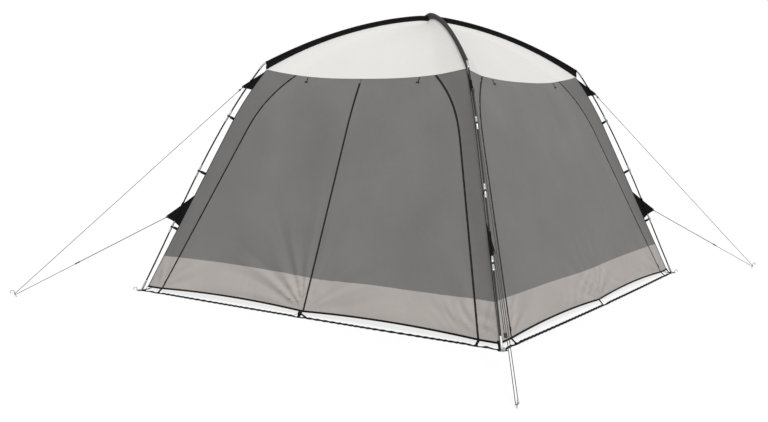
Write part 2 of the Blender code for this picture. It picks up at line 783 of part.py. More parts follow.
def draw_gusset(gusset):
    def draw(bm):
        heights = (gusset["top"], (gusset["top"] + gusset["bottom"]) / 2, gusset["bottom"])
        seam = [Vector((seam_reach(z) + TOUCH + OVERLAP, z)) for z in heights]
        tip = gusset_tip(gusset)
        edge = tip - seam[-1]
        hollow = seam[-1] + edge / 2 + Vector((-edge.y, edge.x)).normalized() * gusset["hollow"]
        outline = [*seam, hollow, tip, tip + Vector((0, GUSSET_NOSE)), tip + Vector(GUSSET_CUT)]
        add_plate(bm, [in_plane(p) for p in outline], SIDEWAYS, CLOTH)

    return draw


def gusset_round(gusset, radius, past):
    def draw(bm):
        low, high = (leg_length_at(z) for z in gusset["tunnel"])
        way = leg_way((low + high) / 2)
        ends = (on_leg(low) - way * past, on_leg(high) + way * past)
        add_tube(bm, [in_plane(p) for p in ends], radius, 8)

    return draw


def draw_ferrule_way(bm):
    # clears the lower gusset's edge from the ferrule of the joint beside it
    middle, way = in_plane(on_leg(LEG_PLACES[0])), in_plane(leg_way(LEG_PLACES[0]))
    reach = way * (FERRULE_LENGTH / 2 + 2 * TOUCH)
    add_tube(bm, [middle - reach, middle + reach], FERRULE_DIAMETER / 2 + 3 * TOUCH, 8)


def draw_eyes(bm):
    for gusset in (MID_GUSSET, UPPER_GUSSET):
        eye = in_plane(gusset_eye(gusset))
        reach = SIDEWAYS * 0.01
        add_tube(bm, [eye - reach, eye + reach], EYE_DIAMETER / 2, 8)


def hook_frame(s):
    # x from the pole to the seam, y sideways, z along the pole
    z = in_plane(leg_way(s))
    x = SIDEWAYS.cross(z).normalized()
    x = x if x.x < 0 else -x
    frame = Matrix((x, z.cross(x), z)).transposed().to_4x4()
    frame.translation = in_plane(on_leg(s))
    return frame


def hook_outline():
    # a ring round the ferrule, open on its upper side, with a shank towards the cloth
    opening = math.radians(HOOK_OPENING)
    first, last = math.pi / 2 - opening / 2, math.pi / 2 + opening / 2 - 2 * math.pi
    inner = (FERRULE_DIAMETER / 2 + TOUCH) / math.cos((first - last) / 12)
    outer = inner + HOOK_WALL
    half = HOOK_SHANK_THICKNESS / 2
    low = math.asin(half / outer)
    around = [-low + (last + low) * i / 5 for i in range(6)]
    back = [last + (first - last) * i / 6 for i in range(7)]
    points = [(HOOK_SHANK, half), (HOOK_SHANK, -half)]
    points += [(outer * math.cos(a), outer * math.sin(a)) for a in around]
    points += [(inner * math.cos(a), inner * math.sin(a)) for a in back]
    points += [(outer * math.cos(a), outer * math.sin(a)) for a in (first, low)]
    return points


def draw_hooks(bm):
    for s in LEG_PLACES:
        frame = hook_frame(s)
        outline = hook_outline()
        ends = (-HOOK_WIDTH / 2, HOOK_WIDTH / 2)
        add_rings(bm, [[frame @ Vector((x, y, z)) for x, y in outline] for z in ends])


def draw_tabs(bm):
    # webbing on edge between each hook's shank and the rib
    for s in LEG_PLACES:
        frame = hook_frame(s)
        near = [frame @ Vector((HOOK_SHANK - 0.004, 0, z)) for z in (-TAB_WIDTH / 2, TAB_WIDTH / 2)]
        way = frame.col[0].xyz
        far = []
        for p in near:
            run = 0.0
            for _ in range(20):
                reach = p + way * run
                run += (reach.x - seam_reach(reach.z) - TOUCH - RIB_DEPTH / 2) * 0.9
            far.append(p + way * run)
        add_plate(bm, [near[0], near[1], far[1], far[0]], SIDEWAYS, CLOTH)


def draw_foot_strap(bm):
    over = WEB_THICKNESS * 1.5 + TOUCH
    top = Vector((seam_reach(FOOT_STRAP_TOP) + TOUCH + WEB_THICKNESS, FOOT_STRAP_TOP))
    line = [top, Vector((FOOT.x - 0.026, over)), Vector((FOOT.x + FOOT_STRAP_REACH, over))]
    add_strap(bm, [in_plane(p) for p in line], SIDEWAYS, FOOT_STRAP_WIDTH, WEB_THICKNESS)


def draw_foot_hole(bm):
    way, foot = in_plane(FOOT_WAY), in_plane(FOOT)
    add_tube(bm, [foot - way * 0.01, foot + way * 0.02], FOOT_CAP_DIAMETER / 2 + 2 * TOUCH, 12)


def peg_drawing(stand, lean):
    # an upright bar, cut flat on the ground, whose top bends over away from the shelter
    def draw(bm):
        way = Vector((math.sin(math.radians(lean)), 0, math.cos(math.radians(lean))))
        out = Vector((way.z, 0, -way.x))
        top = way * stand
        bend = top + out * PEG_HOOK_RADIUS
        line = [Vector((0, 0, 0)), top]
        for degrees in (60, 120, 180):
            a = math.radians(degrees)
            line.append(bend + (way * math.sin(a) - out * math.cos(a)) * PEG_HOOK_RADIUS)
        line.append(line[-1] - way * PEG_TAIL)
        rings = [circle(p, d, PEG_DIAMETER / 2, 6, SIDEWAYS) for p, d in zip(line, ways_along(line))]
        rings[0] = [p - way * (p.z / way.z) for p in rings[0]]
        add_rings(bm, rings)

    return draw


def binding_mesh():
    peg_place = Matrix.Translation((FOOT.x + CORNER_PEG_OFFSET, 0, 0))
    peg = drawn("peg", peg_drawing(CORNER_PEG_STAND, 0), peg_place)
    tools = [("UNION", drawn("foot_strap", draw_foot_strap)), ("UNION", peg)]
    for gusset in (MID_GUSSET, UPPER_GUSSET):
        tools.append(("UNION", drawn("gusset", draw_gusset(gusset))))
        wall = TUNNEL_BORE / 2 + TUNNEL_WALL
        tools.append(("UNION", drawn("tunnel", gusset_round(gusset, wall, 0))))
        tools.append(("DIFFERENCE", drawn("pole_way", gusset_round(gusset, TUNNEL_BORE / 2, 0.02))))
    tools.append(("DIFFERENCE", drawn("ferrule_way", draw_ferrule_way)))
    tools += [("UNION", drawn("tabs", draw_tabs)), ("UNION", drawn("hooks", draw_hooks))]
    tools += [("DIFFERENCE", drawn("eyes", draw_eyes)), ("DIFFERENCE", drawn("foot_hole", draw_foot_hole))]
    return combined("corner_binding", drawn("rib", draw_rib), tools, smooth=True)


binding = binding_mesh()
for corner, frame in CORNER_FRAMES.items():
    place("corner_binding_" + corner, binding, BLACK_WEBBING, at=frame)


# Ground web: one loop of webbing round the feet, with a strap up to each side of every door

def ground_web_y(x):
    return -(FOOT_SPAN / 2 + GROUND_WEB_BOW * (1 - (2 * x / FOOT_SPAN) ** 2))


def web_ring(inner, outer):
    corners = ((inner, 0), (outer, 0), (outer, WEB_THICKNESS), (inner, WEB_THICKNESS))
    return [Vector((*p, z)) for p, z in corners]


def draw_ground_web(bm):
    half, corner = FOOT_SPAN / 2, WEB_CORNER_WIDTH / 2
    end = half - 0.036
    rings = []
    for frame in SIDE_FRAMES.values():
        side = [web_ring((-half + corner, -half + corner), (-half - corner, -half - corner))]
        for i in range(9):
            x = end * (i / 4 - 1)
            y = ground_web_y(x)
            side.append(web_ring((x, y + WEB_WIDTH / 2), (x, y - WEB_WIDTH / 2)))
        rings += [[frame @ p for p in ring] for ring in side]
    add_rings(bm, rings, loop=True)


def draw_hem_straps(bm):
    reach = zip_half(HEM_HEIGHT) + DOOR_GAP + HEM_STRAP_OFFSET
    out = CLOTH / 2 + TOUCH + WEB_THICKNESS / 2
    for x in (-reach, reach):
        web = Vector((x, ground_web_y(x) + WEB_WIDTH / 2 - 0.004, WEB_THICKNESS / 2))
        line = [on_wall(x, HEM_HEIGHT + HEM_BAND, out), on_wall(x, HEM_HEIGHT, out), web]
        add_strap(bm, line, Vector((1, 0, 0)), HEM_STRAP_WIDTH, WEB_THICKNESS)


hem_straps = copies("hem_straps", drawn("straps", draw_hem_straps), SIDE_FRAMES.values())
foot_holes = copies("foot_holes", drawn("hole", draw_foot_hole), CORNER_FRAMES.values())
web_tools = [("UNION", hem_straps), ("DIFFERENCE", foot_holes)]
place("ground_web", combined("ground_web", drawn("web", draw_ground_web), web_tools), BLACK_WEBBING)


# Guylines with their pegs and runners. One line goes from the upper gusset round its peg, through the
# runner's first bore, through the lower gusset's eye and back into the runner's second bore.

PEGS = {name: LONG_PEG if name in UPPER_POLE else SHORT_PEG for name in CORNERS}


def peg_frame(corner):
    # at the peg on the ground, x pointing away from the shelter, in the corner's frame
    x, y = PEGS[corner]
    heading = math.atan2(y, x - gusset_tip(UPPER_GUSSET).x)
    return Matrix.Translation((x, y, 0)) @ Matrix.Rotation(heading, 4, "Z")


def peg_turn(corner):
    # the line's way round the far side of the leaning peg, coming down as it goes
    points = []
    reach = (PEG_DIAMETER + LINE_DIAMETER) / 2 + 2 * TOUCH
    for i in range(7):
        a = math.radians(90 - 30 * i)
        z = LINE_HIGH + (LINE_LOW - LINE_HIGH) * i / 6
        lean = z * math.tan(math.radians(PEG_LEAN))
        points.append(peg_frame(corner) @ Vector((lean + reach * math.cos(a), reach * math.sin(a), z)))
    return points


def eye_turn(gusset, target):
    # the line's way through a gusset's eye and back, with one strand aimed at the target
    eye = in_plane(gusset_eye(gusset))
    half = STRAND_SPACING / 2
    way, across = (target - eye).normalized(), SIDEWAYS
    for _ in range(4):
        across = UPWARD.cross(way).normalized()
        way = (target - eye - (way + across) * half).normalized()
    turn = []
    for degrees in (90, 45, 0, -45, -90):
        a = math.radians(degrees)
        turn.append(eye + way * half * (1 - math.cos(a)) + across * half * math.sin(a))
    return turn, way, across


def lower_strands(corner):
    # ends of the strand that holds the peg, its direction, and the step across to the other strand
    target = peg_turn(corner)[-1]
    turn, way, across = eye_turn(MID_GUSSET, target)
    return turn, target, way, -across * STRAND_SPACING


def runner_middle(corner):
    turn, target, _, step = lower_strands(corner)
    return turn[0].lerp(target, RUNNER_PLACE) + step / 2


def draw_guyline(corner):
    def draw(bm):
        around = peg_turn(corner)
        upper, way, _ = eye_turn(UPPER_GUSSET, around[0])
        turn, target, back, step = lower_strands(corner)
        held = turn[0].lerp(target, RUNNER_PLACE) + step + back * (RUNNER_LENGTH / 2 - 0.003)
        line = [upper[4] + way * LINE_TAIL, *reversed(upper)]
        line += [*around, *turn, held]
        add_tube(bm, line, LINE_DIAMETER / 2, 6)

    return draw


def runner_mesh():
    # a moulded bar with a bore for each strand; x runs along the line towards the gusset
    half, deep, cut = RUNNER_WIDTH / 2, RUNNER_DEPTH / 2, 0.002
    quarter = [(half - cut, -deep), (half, -deep + cut), (half, deep - cut), (half - cut, deep)]
    outline = quarter + [(-y, -z) for y, z in quarter]
    rings = []
    for share, width in ((-0.5, 0.84), (-0.36, 1.0), (-0.12, 0.90), (0.12, 0.90), (0.36, 1.0), (0.5, 0.84)):
        rings.append([Vector((share * RUNNER_LENGTH, y * width, z)) for y, z in outline])

    def draw_bores(bm):
        reach = Vector((RUNNER_LENGTH, 0, 0))
        for y in (-STRAND_SPACING / 2, STRAND_SPACING / 2):
            add_tube(bm, [SIDEWAYS * y - reach, SIDEWAYS * y + reach], RUNNER_BORE / 2, 8)

    body = drawn("runner", lambda bm: add_rings(bm, rings))
    return combined("runner", body, [("DIFFERENCE", drawn("runner_bores", draw_bores))], smooth=True)


runner = runner_mesh()
guy_peg = drawn("guy_peg", peg_drawing(PEG_STAND, PEG_LEAN), smooth=True)
for corner, frame in CORNER_FRAMES.items():
    guyline = drawn("guyline_" + corner, draw_guyline(corner), smooth=True)
    place("guyline_" + corner, guyline, LINE_CORD, at=frame)
    place("guy_peg_" + corner, guy_peg, STEEL, at=frame @ peg_frame(corner))
    _, _, way, step = lower_strands(corner)
    x, y = -way, step.normalized()
    held = Matrix((x, y, x.cross(y))).transposed().to_4x4()
    held.translation = runner_middle(corner)
    place("runner_" + corner, runner, BLACK_PLASTIC, at=frame @ held)


# Doors: each hangs from a straight line under the roof seam, and its empty lies on that line

HINGE_PLACE = on_wall(0, HINGE_HEIGHT, 0)
HANG = Matrix.Translation(-HINGE_PLACE)
HALF_ZIP = ZIP_WIDTH / 2


# The two upright edges of each kind of leaf, as (outermost x, innermost x) of its edging at a height

def left_side(z):
    return -zip_half(z), -zip_half(z) + zip_across(z)


def right_side(z):
    return zip_half(z), zip_half(z) - zip_across(z)


def centre_zip(z):
    return HALF_ZIP, -HALF_ZIP


def centre_tape(z):
    return HALF_ZIP + DOOR_GAP, HALF_ZIP + DOOR_GAP + HALF_ZIP


LEAVES = {
    "whole": (left_side, right_side),
    "left": (left_side, centre_zip),
    "right": (centre_tape, right_side),
}


def leaf_heights(low):
    return [low, *ZIP_ROWS, DOOR_TOP]


def across_leaf(kind, share, z, edge, gap=0.0):
    # x at a share of the way from the leaf's left side to its right; edge 0 is outermost and 1 is inside
    # the edging
    left, right = LEAVES[kind]
    start, end = left(z)[edge] + gap, right(z)[edge] - gap
    return start + (end - start) * share


def leaf_columns(kind):
    count = 8 if kind == "whole" else 4
    return [i / count for i in range(count + 1)]


def leaf_hem(kind, share):
    return hem_low(across_leaf(kind, share, HEM_HEIGHT, 0))


def draw_leaf(kind):
    # the cloth of a door inside its edging
    def face(side):
        grid = []
        for v in (0.0, 0.5, 1.0):
            row = []
            for share in leaf_columns(kind):
                low = leaf_hem(kind, share) + HEM_BAND + TOUCH
                z = low + v * (SKIRT_HEIGHT - low)
                row.append(on_wall(across_leaf(kind, share, z, 1, TOUCH), z, side * CLOTH / 2))
            grid.append(row)
        for z in (LEAF_ROW, *ZIP_ROWS, DOOR_TOP):
            xs = [across_leaf(kind, share, z, 1, TOUCH) for share in leaf_columns(kind)]
            grid.append([on_wall(x, z, side * CLOTH / 2) for x in xs])
        return grid

    return lambda bm: add_sheet(bm, face(1), face(-1))


def draw_edging(kind):
    # zip, hem and zip in one run: down the left side, along the bottom and up the right side
    left, right = LEAVES[kind]

    def face(side):
        out = side * ZIP_THICKNESS / 2
        pairs = []
        for z in reversed(leaf_heights(EDGING_ROW)):
            pairs.append([on_wall(x, z, out) for x in left(z)])
        for share in leaf_columns(kind):
            low = leaf_hem(kind, share)
            high = low + HEM_BAND
            outer, inner = across_leaf(kind, share, low, 0), across_leaf(kind, share, high, 1)
            pairs.append([on_wall(outer, low, out), on_wall(inner, high, out)])
        for z in leaf_heights(EDGING_ROW):
            pairs.append([on_wall(x, z, out) for x in right(z)])
        return pairs

    return lambda bm: add_sheet(bm, face(1), face(-1))


def draw_door_strap(x):
    # hangs from the hem over the near edge of the ground web
    def draw(bm):
        out = ZIP_THICKNESS / 2
        web = Vector((x, ground_web_y(x) + WEB_WIDTH / 2 - 0.006, WEB_THICKNESS * 1.5 + 0.0015))
        line = [on_wall(x, HEM_HEIGHT + HEM_BAND * 0.8, 0), on_wall(x, HEM_HEIGHT, out), web]
        add_strap(bm, line, Vector((1, 0, 0)), HEM_STRAP_WIDTH, WEB_THICKNESS)

    return draw


def edging_mesh(kind):
    mesh = drawn("edging_" + kind, draw_edging(kind), HANG)
    if kind == "right":
        return mesh
    strap = drawn("strap", draw_door_strap(0.0 if kind == "whole" else -HEM_STRAP_WIDTH), HANG)
    return combined("edging_" + kind, mesh, [("UNION", strap)])


leaf_meshes = {kind: (drawn("leaf_" + kind, draw_leaf(kind), HANG), edging_mesh(kind)) for kind in LEAVES}
DOORS = {
    "door_front_left": ("left", "front"),
    "door_front_right": ("right", "front"),
    "door_right": ("whole", "right"),
    "door_back": ("whole", "back"),
    "door_left": ("whole", "left"),
}
pivots = {}
for name, (kind, side) in DOORS.items():
    pivots[name] = empty(name + "_hinge", SIDE_FRAMES[side] @ Matrix.Translation(HINGE_PLACE))
    place(name + "_leaf", leaf_meshes[kind][0], WALL_CLOTH, parent=pivots[name])
    place(name + "_edging", leaf_meshes[kind][1], BLACK_WEBBING, parent=pivots[name])


# Zip sliders, each with its own origin on the zip's middle line

def draw_slider(bm):
    # x across the zip, y outward, z along it
    half, cut, low = SLIDER_WIDTH / 2, 0.0012, TOUCH
    high = low + SLIDER_DEPTH
    rings = []
    for share, width in ((-0.5, 0.55), (-0.2, 0.8), (0.25, 1.0), (0.5, 0.85)):
        w = half * width
        outline = ((-w, low), (w, low), (w, high - cut), (w - cut, high), (-w + cut, high), (-w, high - cut))
        rings.append([Vector((x, y, share * SLIDER_LENGTH)) for x, y in outline])
    add_rings(bm, rings)


def draw_pull(bm):
    middle = TOUCH + SLIDER_DEPTH - OVERLAP + PULL_THICKNESS / 2
    rings = []
    for share, width in ((0.0, 0.55), (0.3, 0.7), (0.9, 1.0), (1.0, 0.8)):
        w, t = PULL_WIDTH / 2 * width, PULL_THICKNESS / 2
        z = SLIDER_LENGTH * 0.25 - PULL_LENGTH * share
        rings.append([Vector((a * w, middle + b * t, z)) for a, b in ((-1, -1), (1, -1), (1, 1), (-1, 1))])
    add_rings(bm, rings)


def slider_frame(x_at):
    # a slider's place on its zip in the frame of its door's hinge
    def middle(z):
        return on_wall(x_at(z), z, ZIP_THICKNESS / 2) - HINGE_PLACE

    along = (middle(ZIP_TURN_HEIGHT - 0.1) - middle(SLIDER_HEIGHT)).normalized()
    across = Vector((0, -1, DOOR_SLOPE)).cross(along).normalized()
    frame = Matrix((across, along.cross(across), along)).transposed().to_4x4()
    frame.translation = middle(SLIDER_HEIGHT)
    return frame


def left_zip_middle(z):
    return sum(left_side(z)) / 2


def right_zip_middle(z):
    return sum(right_side(z)) / 2


def centre_zip_middle(z):
    return 0.0


SLIDERS = {
    "zip_slider_front_left": ("door_front_left", left_zip_middle),
    "zip_slider_front_centre": ("door_front_left", centre_zip_middle),
    "zip_slider_front_right": ("door_front_right", right_zip_middle),
    "zip_slider_right_front": ("door_right", left_zip_middle),
    "zip_slider_right_back": ("door_right", right_zip_middle),
    "zip_slider_back_right": ("door_back", left_zip_middle),
    "zip_slider_back_left": ("door_back", right_zip_middle),
    "zip_slider_left_back": ("door_left", left_zip_middle),
    "zip_slider_left_front": ("door_left", right_zip_middle),
}
slider = combined("zip_slider", drawn("slider", draw_slider), [("UNION", drawn("pull", draw_pull))])
for name, (owner, x_at) in SLIDERS.items():
    place(name, slider, STEEL, parent=pivots[owner], at=slider_frame(x_at))
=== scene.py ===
import json
import math

import bmesh
import bpy
from mathutils import Matrix, Vector, noise


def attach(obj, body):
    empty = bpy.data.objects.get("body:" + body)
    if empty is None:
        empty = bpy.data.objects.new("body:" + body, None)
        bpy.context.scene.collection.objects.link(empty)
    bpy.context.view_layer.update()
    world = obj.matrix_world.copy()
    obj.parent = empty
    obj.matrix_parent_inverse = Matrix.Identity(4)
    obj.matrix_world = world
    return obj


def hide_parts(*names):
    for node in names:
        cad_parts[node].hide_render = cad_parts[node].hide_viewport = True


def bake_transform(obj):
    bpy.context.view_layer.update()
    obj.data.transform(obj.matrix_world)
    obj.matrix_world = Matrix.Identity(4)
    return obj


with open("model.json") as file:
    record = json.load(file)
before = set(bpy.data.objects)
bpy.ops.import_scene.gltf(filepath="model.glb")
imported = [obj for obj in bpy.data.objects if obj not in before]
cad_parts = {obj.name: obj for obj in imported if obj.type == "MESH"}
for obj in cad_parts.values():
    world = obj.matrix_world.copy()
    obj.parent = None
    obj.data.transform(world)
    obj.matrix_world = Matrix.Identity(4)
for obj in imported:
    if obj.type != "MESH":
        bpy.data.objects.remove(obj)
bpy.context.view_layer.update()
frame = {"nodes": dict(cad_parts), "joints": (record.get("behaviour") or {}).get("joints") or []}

up = Vector((0, 0, 1))
sideways = Vector((0, 1, 0))
rightwards = Vector((1, 0, 0))
root2 = math.sqrt(2)
cornerTurns = {"front_left": 225, "front_right": 315, "back_right": 45, "back_left": 135}
sideTurns = {"front": 0, "right": 90, "back": 180, "left": 270}
cornerFrames = {name: Matrix.Rotation(math.radians(a), 4, "Z") for name, a in cornerTurns.items()}
sideFrames = {name: Matrix.Rotation(math.radians(a), 4, "Z") for name, a in sideTurns.items()}
joints = {joint["name"]: joint for joint in frame["joints"]}


def spread(start, end, steps):
    # evenly spaced numbers, both ends included
    return [start + (end - start) * i / steps for i in range(steps + 1)]


def fullTurn(count, start=0.0):
    return [2 * math.pi * (i + start) / count for i in range(count)]


def wobble(x, y, z):
    return noise.noise(Vector((x, y, z)))


def softened(value):
    # 0 below 0, 1 above 1 and an even rise between them
    t = max(0.0, min(1.0, value))
    return t * t * (3 - 2 * t)


def addObject(name, data):
    obj = bpy.data.objects.new(name, data)
    bpy.context.scene.collection.objects.link(obj)
    return obj


# Camera, fitted to the photograph

cameraFit = {
    "place": (3.90912, -5.97748, 1.37759),
    "azimuth": 29.956,  # degrees, from straight in front towards the right
    "elevation": 9.022,
    "roll": 0.972,
    "lens": 43.107,
    "shift": (-0.1221, 0.0523),
}


def makeCamera():
    a, e, roll = (math.radians(cameraFit[key]) for key in ("azimuth", "elevation", "roll"))
    back = Vector((math.sin(a) * math.cos(e), -math.cos(a) * math.cos(e), math.sin(e)))
    right = Vector((math.cos(a), math.sin(a), 0))
    top = back.cross(right)
    x = right * math.cos(roll) + top * math.sin(roll)
    y = top * math.cos(roll) - right * math.sin(roll)
    data = bpy.data.cameras.new("camera")
    data.lens = cameraFit["lens"]
    data.shift_x, data.shift_y = cameraFit["shift"]
    obj = addObject("camera", data)
    obj.matrix_world = Matrix.Translation(cameraFit["place"]) @ Matrix((x, y, back)).transposed().to_4x4()
    bpy.context.scene.camera = obj


makeCamera()
print("camera made")


# Materials

def linear(code):
    # an sRGB hex code as the linear colour that shaders use
    parts = [int(code[i : i + 2], 16) / 255 for i in (1, 3, 5)]
    return (*(c / 12.92 if c <= 0.04045 else ((c + 0.055) / 1.055) ** 2.4 for c in parts), 1)


def shaded(color, amount):
    return (*(min(1, c * amount) for c in color[:3]), 1)


def addNode(owner, kind, settings=None, links=None):
    node = owner.node_tree.nodes.new("ShaderNode" + kind)
    for key, value in (settings or {}).items():
        if isinstance(key, int) or key in node.inputs:
            node.inputs[key].default_value = value
        else:
            setattr(node, key, value)
    for key, source in (links or {}).items():
        owner.node_tree.links.new(source, node.inputs[key])
    return node


def newMaterial(name, settings):
    mat = bpy.data.materials.new(name)
    mat.use_nodes = True
    for key, value in settings.items():
        mat.node_tree.nodes["Principled BSDF"].inputs[key].default_value = value
    return mat


def feed(mat, name, source):
    mat.node_tree.links.new(source, mat.node_tree.nodes["Principled BSDF"].inputs[name])


def coordsOf(mat, name):
    return addNode(mat, "TexCoord").outputs[name]


def addNoise(mat, coords, scale, detail, distortion=0.0):
    settings = {"Scale": scale, "Detail": detail, "Distortion": distortion}
    return addNode(mat, "TexNoise", settings, {"Vector": coords}).outputs["Fac"]


def addWaves(mat, uv, mm, direction="X", distortion=0.0):
    # wave bands repeat every pi / 10 units at scale 1
    settings = {"bands_direction": direction, "Scale": math.pi / 10 / (mm / 1000)}
    settings |= {"Distortion": distortion, "Detail": 1.0}
    return addNode(mat, "TexWave", settings, {"Vector": uv}).outputs["Fac"]


def addRelief(mat, height, strength, distance, under=None):
    links = {"Height": height} | ({"Normal": under} if under else {})
    return addNode(mat, "Bump", {"Strength": strength, "Distance": distance}, links).outputs["Normal"]


def addWear(mat, factor, low, high):
    # roughness that follows a pattern
    worn = addNode(mat, "MapRange", {"To Min": low, "To Max": high}, {"Value": factor})
    feed(mat, "Roughness", worn.outputs[0])


def addRamp(mat, factor, low, high, start=0.0, end=1.0):
    ramp = addNode(mat, "ValToRGB", links={"Fac": factor})
    ramp.color_ramp.elements[0].color, ramp.color_ramp.elements[0].position = low, start
    ramp.color_ramp.elements[1].color, ramp.color_ramp.elements[1].position = high, end
    return ramp.outputs["Color"]


def clothMaterial(name, code, thread, vary, crush=0.3, rough=0.72, sheen=0.15, gloss=0.35):
    # plain-woven polyester with a coated back: a matt face with a slight sheen; the 0.3 mm threads are drawn
    # coarser so that the weave shows close up
    settings = {"Roughness": rough, "Sheen Weight": sheen, "Sheen Roughness": 0.4, "Specular IOR Level": gloss}
    mat, base = newMaterial(name, settings), linear(code)
    uv, place = coordsOf(mat, "UV"), coordsOf(mat, "Object")
    links = {0: addNoise(mat, uv, 420.0, 1.0), 2: addNoise(mat, place, 2.2, 3.0)}
    patchy = addNode(mat, "Math", {"operation": "MULTIPLY_ADD", 1: 0.25}, links).outputs[0]
    feed(mat, "Base Color", addRamp(mat, patchy, shaded(base, 1 - vary), shaded(base, 1 + vary), 0.35, 0.95))
    links = {i: addWaves(mat, uv, thread, direction, 0.4) for i, direction in enumerate("XY")}
    weave = addNode(mat, "Math", {"operation": "MAXIMUM"}, links).outputs[0]
    crushed = addRelief(mat, addNoise(mat, place, 26.0, 4.0, 0.6), crush, 0.004)
    feed(mat, "Normal", addRelief(mat, weave, 0.35, thread * 0.00015, crushed))
    return mat


def webbingMaterial(name, code, rib):
    # woven polypropylene: ribs across the strap and a matt yarn that catches a little light
    mat = newMaterial(name, {"Roughness": 0.75, "Sheen Weight": 0.03, "Specular IOR Level": 0.10})
    uv, base = coordsOf(mat, "UV"), linear(code)
    links = {0: addWaves(mat, uv, rib, "Y"), 1: addWaves(mat, uv, rib * 1.6)}
    woven = addNode(mat, "Math", {"operation": "MULTIPLY"}, links).outputs[0]
    feed(mat, "Base Color", addRamp(mat, woven, shaded(base, 0.8), shaded(base, 1.25)))
    feed(mat, "Normal", addRelief(mat, woven, 0.6, 0.0004))
    return mat


def coilMaterial():
    # spiral zip coil of nylon monofilament: a row of glossy turns, drawn 2.5 mm apart instead of 1.2
    mat = newMaterial("nylon zip coil", {"Roughness": 0.35, "Base Color": linear("#161617")})
    feed(mat, "Normal", addRelief(mat, addWaves(mat, coordsOf(mat, "UV"), 2.5, "Y"), 1.0, 0.0008))
    return mat


def acetalMaterial():
    # injection-moulded, with the fine spark grain of its mould, which breaks up its shine
    mat = newMaterial("moulded acetal", {"Base Color": linear("#151516"), "IOR": 1.48})
    place = coordsOf(mat, "Object")
    addWear(mat, addNoise(mat, place, 60.0, 3.0), 0.34, 0.52)
    feed(mat, "Normal", addRelief(mat, addNoise(mat, place, 1400.0, 2.0), 0.25, 0.0001))
    return mat


def platedMaterial(name, code, rough, scale):
    # plated metal: bright, with soft patches where the plating has dulled
    mat, base = newMaterial(name, {"Metallic": 1.0}), linear(code)
    patch = addNoise(mat, coordsOf(mat, "Object"), scale, 3.0)
    feed(mat, "Base Color", addRamp(mat, patch, shaded(base, 0.78), base, 0.3, 0.7))
    addWear(mat, patch, rough + 0.12, rough - 0.05)
    return mat


def fibreglassMaterial():
    # pultruded rod dyed black: faint streaks along its fibres under a thin matt resin skin
    mat = newMaterial("pultruded fibreglass", {"Roughness": 0.5, "IOR": 1.53, "Specular IOR Level": 0.3})
    drawnOut = addNode(mat, "Mapping", {"Scale": (900.0, 9.0, 1.0)}, {"Vector": coordsOf(mat, "UV")})
    streak = addNoise(mat, drawnOut.outputs[0], 1.0, 3.0)
    feed(mat, "Base Color", addRamp(mat, streak, linear("#131314"), linear("#232426"), 0.35, 0.7))
    return mat


def cordMaterial():
    # braided polyester: two strands that cross every 3 mm
    mat = newMaterial("braided polyester line", {"Roughness": 0.7, "Sheen Weight": 0.1})
    settings = {"Scale": (330.0, 330.0, 1.0), "Rotation": (0, 0, math.radians(40))}
    turned = addNode(mat, "Mapping", settings, {"Vector": coordsOf(mat, "UV")})
    settings = {"Scale": 1.0, "Color1": linear("#2e2d2c"), "Color2": linear("#1d1d1c")}
    braid = addNode(mat, "TexChecker", settings, {"Vector": turned.outputs[0]})
    feed(mat, "Base Color", braid.outputs["Color"])
    return mat


materials = {
    "wall": clothMaterial("polyester taffeta mid grey", "#787675", 1.2, 0.09),
    # the corner panels are the walls' cloth drawn about 5 % darker: painted shade, as they turn away from the light
    "panel": clothMaterial("polyester taffeta mid grey darkened as painted shade", "#72706f", 1.2, 0.08),
    "skirt": clothMaterial("polyester taffeta stone", "#b0aaa5", 1.2, 0.07),
    "roof": clothMaterial("polyester taffeta off-white", "#e5e3df", 1.2, 0.02),
    "blackSleeve": clothMaterial("polyester oxford black", "#141415", 1.6, 0.12, 0.3, 0.8, 0.03, 0.10),
    # sleeve b is the same black oxford as sleeve a, drawn lighter as a painted sheen of the sky on its top
    "sheenLitSleeve": clothMaterial("polyester oxford black lightened as painted sheen", "#3a3a3c", 1.6, 0.12, 0.3, 0.8, 0.05, 0.15),
    "gusset": clothMaterial("polyester oxford black stiff", "#121213", 2.0, 0.1, 0.15, 0.8, 0.03, 0.10),
    "tape": webbingMaterial("woven zip tape", "#0b0b0c", 1.0),
    "webbing": webbingMaterial("polypropylene webbing", "#141415", 2.2),
    "binding": webbingMaterial("woven binding tape", "#131314", 1.4),
    "coil": coilMaterial(),
    "moulded": acetalMaterial(),
    "pole": fibreglassMaterial(),
    "steel": platedMaterial("zinc-plated steel", "#b4b6b7", 0.3, 60.0),
    "nickel": platedMaterial("nickel-plated zinc alloy", "#c6c4c0", 0.25, 200.0),
    "slider": platedMaterial("black-plated zinc alloy", "#3c3c3e", 0.35, 200.0),
    "line": cordMaterial(),
}
print("materials made")


# Mesh tools

def meshFrom(name, verts, faces, uvs, mats, slots=None, sharp=50):
    # uvs holds one pair for each vertex, in metres along the piece
    mesh = bpy.data.meshes.new(name)
    mesh.from_pydata([tuple(v) for v in verts], [], faces)
    layer = mesh.uv_layers.new(name="metres")
    loops = [0] * len(mesh.loops)
    mesh.loops.foreach_get("vertex_index", loops)
    layer.data.foreach_set("uv", [c for i in loops for c in uvs[i]])
    for mat in mats:
        mesh.materials.append(materials[mat])
    if slots:
        mesh.polygons.foreach_set("material_index", slots)
    mesh.shade_smooth()
    mesh.set_sharp_from_angle(angle=math.radians(sharp))
    return mesh


def distancesAlong(points):
    out = [0.0]
    for a, b in zip(points, points[1:]):
        out.append(out[-1] + (b - a).length)
    return out


def measured(rows):
    # each point's distance along its row and up its column
    out = []
    for i, row in enumerate(rows):
        line, u = [], 0.0
        for j, p in enumerate(row):
            u += (p - row[j - 1]).length if j else 0.0
            v = out[-1][j][1] + (p - rows[i - 1][j]).length if i else 0.0
            line.append((u, v))
        out.append(line)
    return out


